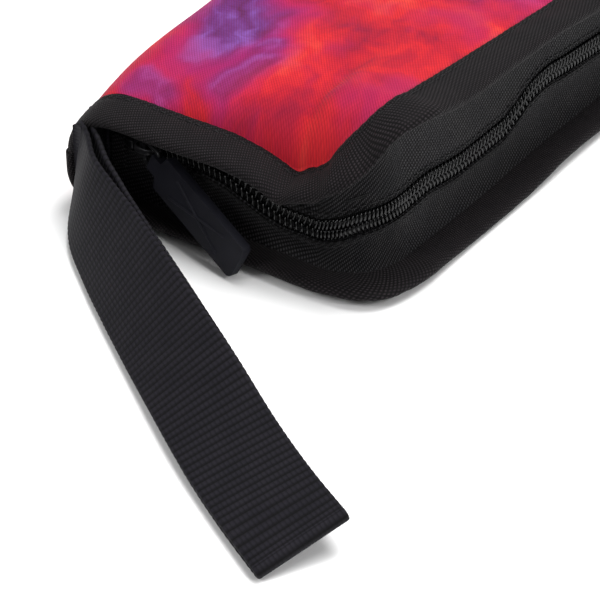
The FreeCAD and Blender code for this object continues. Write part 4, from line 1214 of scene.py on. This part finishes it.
for _ in range(2):
    arch_x[1:-1] = (arch_x[:-2] + 2 * arch_x[1:-1] + arch_x[2:]) / 4
    arch_y[1:-1] = (arch_y[:-2] + 2 * arch_y[1:-1] + arch_y[2:]) / 4
arch_line = np.stack([arch_x, arch_y, np.full(36, middle_z)], axis=1)
rings = tube_rings(arch_line, 0.42, 14, flat=2.3)
bridge = join_parts("slider_bar", [rings], ENAMEL, "slider", 60)
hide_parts("slider_bridge")
print("slider", round(half_x * 2, 1), "mm long")

# %% [markdown]
# A wire link threads the bridge and the hole in the rubber tab. The tab is moulded thick, with a
# crisp bevel all round, a chamfered tip and a raised mark of two crossed sticks.

# %% The pull link and the rubber tab
def turn(axis, degrees):
    a = math.radians(degrees)
    c, s = math.cos(a), math.sin(a)
    if axis == "x":
        return np.array([[1, 0, 0], [0, c, -s], [0, s, c]])
    if axis == "y":
        return np.array([[c, 0, s], [0, 1, 0], [-s, 0, c]])
    return np.array([[c, -s, 0], [s, c, 0], [0, 0, 1]])


LINK_PIVOT = np.array([-29.5, -217.0, 21.0])
TAB_PIVOT = np.array([-23.68, -219.84, 20.43])
TAB_POSE = turn("z", -14) @ turn("y", 23) @ turn("x", 80)
tab_across = TAB_POSE[:, 1]
corners = [LINK_PIVOT + (0, 0, 3.1), TAB_PIVOT + tab_across * 3.1,
           TAB_PIVOT - tab_across * 3.1, LINK_PIVOT - (0, 0, 3.1)]
corner_loop = []
for k in range(4):
    here, after, before = corners[k], corners[(k + 1) % 4], corners[k - 1]
    a, b = here + (before - here) * 0.22, here + (after - here) * 0.22
    for t in np.linspace(0, 1, 7):
        corner_loop.append((1 - t) ** 2 * a + 2 * t * (1 - t) * here + t * t * b)
    corner_loop += [b + (after + (here - after) * 0.22 - b) * t for t in (0.25, 0.5, 0.75)]
corner_loop = np.array(corner_loop)
loop_ahead = np.roll(corner_loop, -1, axis=0) - np.roll(corner_loop, 1, axis=0)
flat_normal = np.cross(corners[1] - corners[0], corners[3] - corners[0])
wire = tube_rings(corner_loop, 0.6, 12, up=flat_normal, closed=True)
closed_wire = np.concatenate([wire, wire[:1]])
link_faces = grid_faces(len(closed_wire), 12, 0, False, closed=True)
link = finish_mesh("pull_wire", closed_wire.reshape(-1, 3), link_faces,
                   closed_wire.reshape(-1, 3)[:, :2], ENAMEL, "link")
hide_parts("pull_link")


def on_tab(along, across, height):
    return TAB_PIVOT + TAB_POSE @ np.array([along, across, height])


tab_outline = [(-1.4, -2.4), (2.4, -2.4), (3.4, -5.5), (36.6, -5.5), (37.5, -4.6), (37.5, 4.6),
               (36.6, 5.5), (3.4, 5.5), (2.4, 2.4), (-1.4, 2.4)]
tab_outline = round_corners(tab_outline, 0.45, 3)
tab_rings = soft_plate(tab_outline, -1.5, 1.5, 0.16, on_tab)
tab = join_parts("rubber_tab", [tab_rings], RUBBER, "tab", 25)
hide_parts("pull_tab")


def emboss_stick(tilt):
    """One raised drum stick on the tab's face, its taper and its tip."""
    a = math.radians(tilt)
    way = np.array([math.cos(a), math.sin(a)])
    line, thick = [], []
    for t in np.linspace(0, 1, 25):
        place = np.array([20.0, 0.0]) + way * (t - 0.5) * 22
        line.append(on_tab(place[0], place[1], 1.48))
        body_part = 0.62 if t < 0.62 else 0.62 - (t - 0.62) / 0.28 * 0.34
        thick.append(body_part if t < 0.9 else 0.28 + 0.3 * math.sin((t - 0.9) / 0.1 * math.pi))
    rings = tube_rings(line, 1.0, 10, up=TAB_POSE[:, 2])
    centre = np.array(line)[:, None]
    return centre + (rings - centre) * np.array(thick)[:, None, None] * 0.75


mark = join_parts("tab_mark", [emboss_stick(17), emboss_stick(-17)], RUBBER, "tab",
                  60)
print("tab", 39, "by", 11, "mm, with a mark in relief")

# %% [markdown]
# The wrist loop is nylon webbing, folded double. It is sewn on edge into the spine's end, twists
# as it drops and then leans on the ground it lies on. Heavy webbing is woven with ribs straight
# across it, and those ribs are modelled, because they break up its outline.

# %% The wrist loop
LOOP_ROWS = [(5.6, -1.0, 3.0, -66, 9), (8.1, -5.0, 2.4, -56, 13), (12.9, -11.4, 1.8, -51, 17),
             (20.2, -19.6, 1.1, -44, 26), (30.8, -28.7, 1.0, -38, 34),
             (44.4, -39.0, 1.1, -36.5, 41), (60.8, -51.0, 1.3, -36, 49),
             (78.7, -63.6, 1.6, -35, 58), (97.6, -76.6, 1.7, -33, 70),
             (117.0, -88.2, 1.7, -30, 73), (133.2, -97.0, 1.7, -26, 71)]
WEB_WIDE = 25.0
WEB_THICK = 1.5
WEB_GAP = 0.4
RIB = 2.25


def loop_path(step):
    """Lower edge, heading, width and through directions along the folded webbing."""
    rows = np.array(LOOP_ROWS, float)
    run = np.concatenate([[0], np.cumsum(np.linalg.norm(np.diff(rows[:, :3], axis=0), axis=1))])
    at = np.arange(0, run[-1] + step / 2, step)
    x, y, z, heading, lean = (smooth(np.stack([run, rows[:, i]], axis=1), at) for i in range(5))
    heading, lean = np.radians(heading), np.radians(lean)
    forward = np.stack([np.cos(heading), np.sin(heading), 0 * heading], axis=1)
    left = np.stack([-np.sin(heading), np.cos(heading), 0 * heading], axis=1)
    width = left * np.sin(lean)[:, None] + np.array([0, 0, 1]) * np.cos(lean)[:, None]
    through = np.cross(forward, width)
    place = np.stack([SPINE_X + x, NEAR_Y + y, z], axis=1)
    return at, place, forward, width, through


def webbing_ring(across_steps):
    """A closed section of webbing: places across it and its sides through the thickness."""
    edge = [(-1, 0.0), (-0.99, 0.30), (-0.97, 0.46)]
    top = [(t, 0.5) for t in np.linspace(-0.94, 0.94, across_steps)]
    ring = edge + top + [(-a, b) for a, b in edge[::-1]]
    return np.array(ring + [(a, -b) for a, b in ring[::-1][1:-1]])


def loop_layer(path, offset, seed):
    at, place, forward, width, through = path
    section = webbing_ring(27)
    rings = np.empty((len(at), len(section), 3))
    uvs = np.empty((len(at), len(section), 2))
    soft = 0.12 * ripple(at, 60, seed)
    rib = np.abs(np.sin(math.pi * at / RIB)) ** 0.7
    for k, (a, b) in enumerate(section):
        bulge = (0.80 + 0.20 * rib) * WEB_THICK * b
        half = WEB_WIDE / 2 + 0.10 * (rib - 0.5) * (abs(a) > 0.95)
        sag = 0.10 * (1 - a * a) * math.copysign(1, offset)
        sag = sag + math.copysign(0.9, offset) * np.exp(-((at - 16) / 14) ** 2)
        rings[:, k] = (place + width * (WEB_WIDE / 2 + a * half)[:, None]
                       + through * (offset + bulge + soft + sag)[:, None])
        uvs[:, k, 0] = at
        uvs[:, k, 1] = a * WEB_WIDE / 2 + (60 if b < 0 else 0)
    return rings, uvs


path = loop_path(RIB / 6)
layer_offset = (WEB_THICK + WEB_GAP) / 2
outer_rings, outer_uv = loop_layer(path, layer_offset, 51)
inner_rings, inner_uv = loop_layer(path, -layer_offset, 51)
at, place, forward, width, through = (p[-1] for p in path)
fold_rings, fold_uvs = [], []
section = webbing_ring(27)
for t in np.linspace(0, math.pi, 15):
    ring, ring_uv = [], []
    for a, b in section:
        radius = layer_offset + b * WEB_THICK
        spot = (place + width * (WEB_WIDE / 2 + a * WEB_WIDE / 2)
                + forward * radius * math.sin(t) * 0.95 + through * (radius * math.cos(t)))
        ring.append(spot)
        ring_uv.append((at + layer_offset * t, a * WEB_WIDE / 2))
    fold_rings.append(ring)
    fold_uvs.append(ring_uv)
flip_section = np.array([int(np.argmin(np.hypot(section[:, 0] - a, section[:, 1] + b)))
                         for a, b in section])
inner_part = inner_rings[::-1][1:][:, flip_section]
inner_part_uv = inner_uv[::-1][1:][:, flip_section]
inner_part_uv[:, :, 0] = 2 * at + 3 - inner_part_uv[:, :, 0]
all_rings = np.concatenate([outer_rings[:-1], np.array(fold_rings)[1:-1], inner_part])
all_uv = np.concatenate([outer_uv[:-1], np.array(fold_uvs)[1:-1], inner_part_uv])
wrist = band("wrist_webbing", all_rings, all_uv, WEBBING, "loop")
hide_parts("wrist_loop")
print("webbing", round(float(2 * at + 3)), "mm long, folded double")

# %% [markdown]
# The two ends of the webbing run in beside the spine and are sewn down with a bartack, a short
# dense zigzag of thread.

# %% The sewn tail of the loop
low, high = box_mm("strap_tail")
tail_rings, tail_uvs = [], []
for y in np.arange(low[1], high[1], RIB / 5):
    rib = abs(math.sin(math.pi * y / RIB)) ** 0.7
    ring, ring_uv = [], []
    for a, b in webbing_ring(15):
        bulge = (0.86 + 0.14 * rib) * b * (high[0] - low[0])
        ring.append(((low[0] + high[0]) / 2 + bulge, y,
                     (low[2] + high[2]) / 2 - 2.4 + a * (high[2] - low[2]) / 2))
        ring_uv.append((y, a * 12.5))
    tail_rings.append(ring)
    tail_uvs.append(ring_uv)
tail = band("webbing_tail", np.array(tail_rings), np.array(tail_uvs), WEBBING, "bottom_half")
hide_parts("strap_tail")
low, high = box_mm("strap_bartack")
zigzag = []
count = 46
for k in range(count):
    zigzag.append((high[0] + 0.05, (low[1] if k % 2 else high[1]),
                   low[2] + (high[2] - low[2]) * k / (count - 1)))
dense = []
for a, b in zip(zigzag, zigzag[1:]):
    for t in (0.0, 0.34, 0.67):
        dense.append(np.array(a) + (np.array(b) - np.array(a)) * t)
tack = join_parts("bartack", [tube_rings(np.array(dense), 0.22, 6, up=(1, 0, 0))], THREAD,
                  "bottom_half", 70)
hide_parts("strap_bartack")
print("bartack with", count - 1, "stitches")

# %% [markdown]
# Everything stands on a plain pale floor, as in a small studio. A very broad soft light comes
# from above, white surroundings fill the shadows, and three small square lamps add the glints.

# %% Floor, lamps and camera
def pale_floor():
    nodes = Nodes("pale_floor")
    place = nodes.add("ShaderNodeTexCoord").outputs["Object"]
    grain = nodes.noise(place, 3.0, 4.0)
    base = nodes.ramp(grain, [(0.3, (0.93, 0.93, 0.93)), (0.7, (0.96, 0.96, 0.96))])
    nodes.link(base, nodes.shader.inputs["Base Color"])
    nodes.shader.inputs["Roughness"].default_value = 0.8
    nodes.shader.inputs["Specular IOR Level"].default_value = 0.1
    return nodes.material


floor_mesh = bpy.data.meshes.new("floor")
floor_mesh.from_pydata([(-4, -4, 0), (4, -4, 0), (4, 4, 0), (-4, 4, 0)], [], [(0, 1, 2, 3)])
floor = bpy.data.objects.new("floor", floor_mesh)
bpy.context.scene.collection.objects.link(floor)
floor_mesh.materials.append(pale_floor())


def lamp(name, place, target, width, power):
    data = bpy.data.lights.new(name, "AREA")
    data.size = width
    data.energy = power
    holder = bpy.data.objects.new(name, data)
    bpy.context.scene.collection.objects.link(holder)
    holder.location = place
    aim = Vector(target) - Vector(place)
    holder.rotation_euler = aim.to_track_quat("-Z", "Y").to_euler()


bpy.context.scene.view_settings.view_transform = "Standard"
world = bpy.data.worlds.new("studio")
bpy.context.scene.world = world
world.use_nodes = True
fill = world.node_tree.nodes["Background"]
fill.inputs[0].default_value = (1, 1, 1, 1)
fill.inputs[1].default_value = 0.34
sky = bpy.data.lights.new("sky_panel", "SUN")
sky.energy = 2.0
sky.angle = math.radians(38)
sky_holder = bpy.data.objects.new("sky_panel", sky)
sky_holder.rotation_euler = (math.radians(-14), math.radians(10), 0)
bpy.context.scene.collection.objects.link(sky_holder)
lamp("overhead", (0.05, 0.15, 1.1), (0, -0.15, 0), 0.5, 6.0)
lamp("side", (0.95, -0.35, 0.75), (0, -0.15, 0.02), 0.35, 4.5)
lamp("end", (-0.35, -1.0, 0.7), (0, -0.2, 0.02), 0.35, 3.5)
camera_data = bpy.data.cameras.new("camera")
camera = bpy.data.objects.new("camera", camera_data)
bpy.context.scene.collection.objects.link(camera)
camera.location = (0.33925, -0.67346, 0.37783)
aim = Vector((0.0355, -0.238, 0.010))
camera.rotation_euler = (aim - camera.location).to_track_quat("-Z", "Y").to_euler()
camera_data.lens = 154.0
camera_data.clip_start = 0.01
bpy.context.scene.camera = camera
print("lamps:", 4)
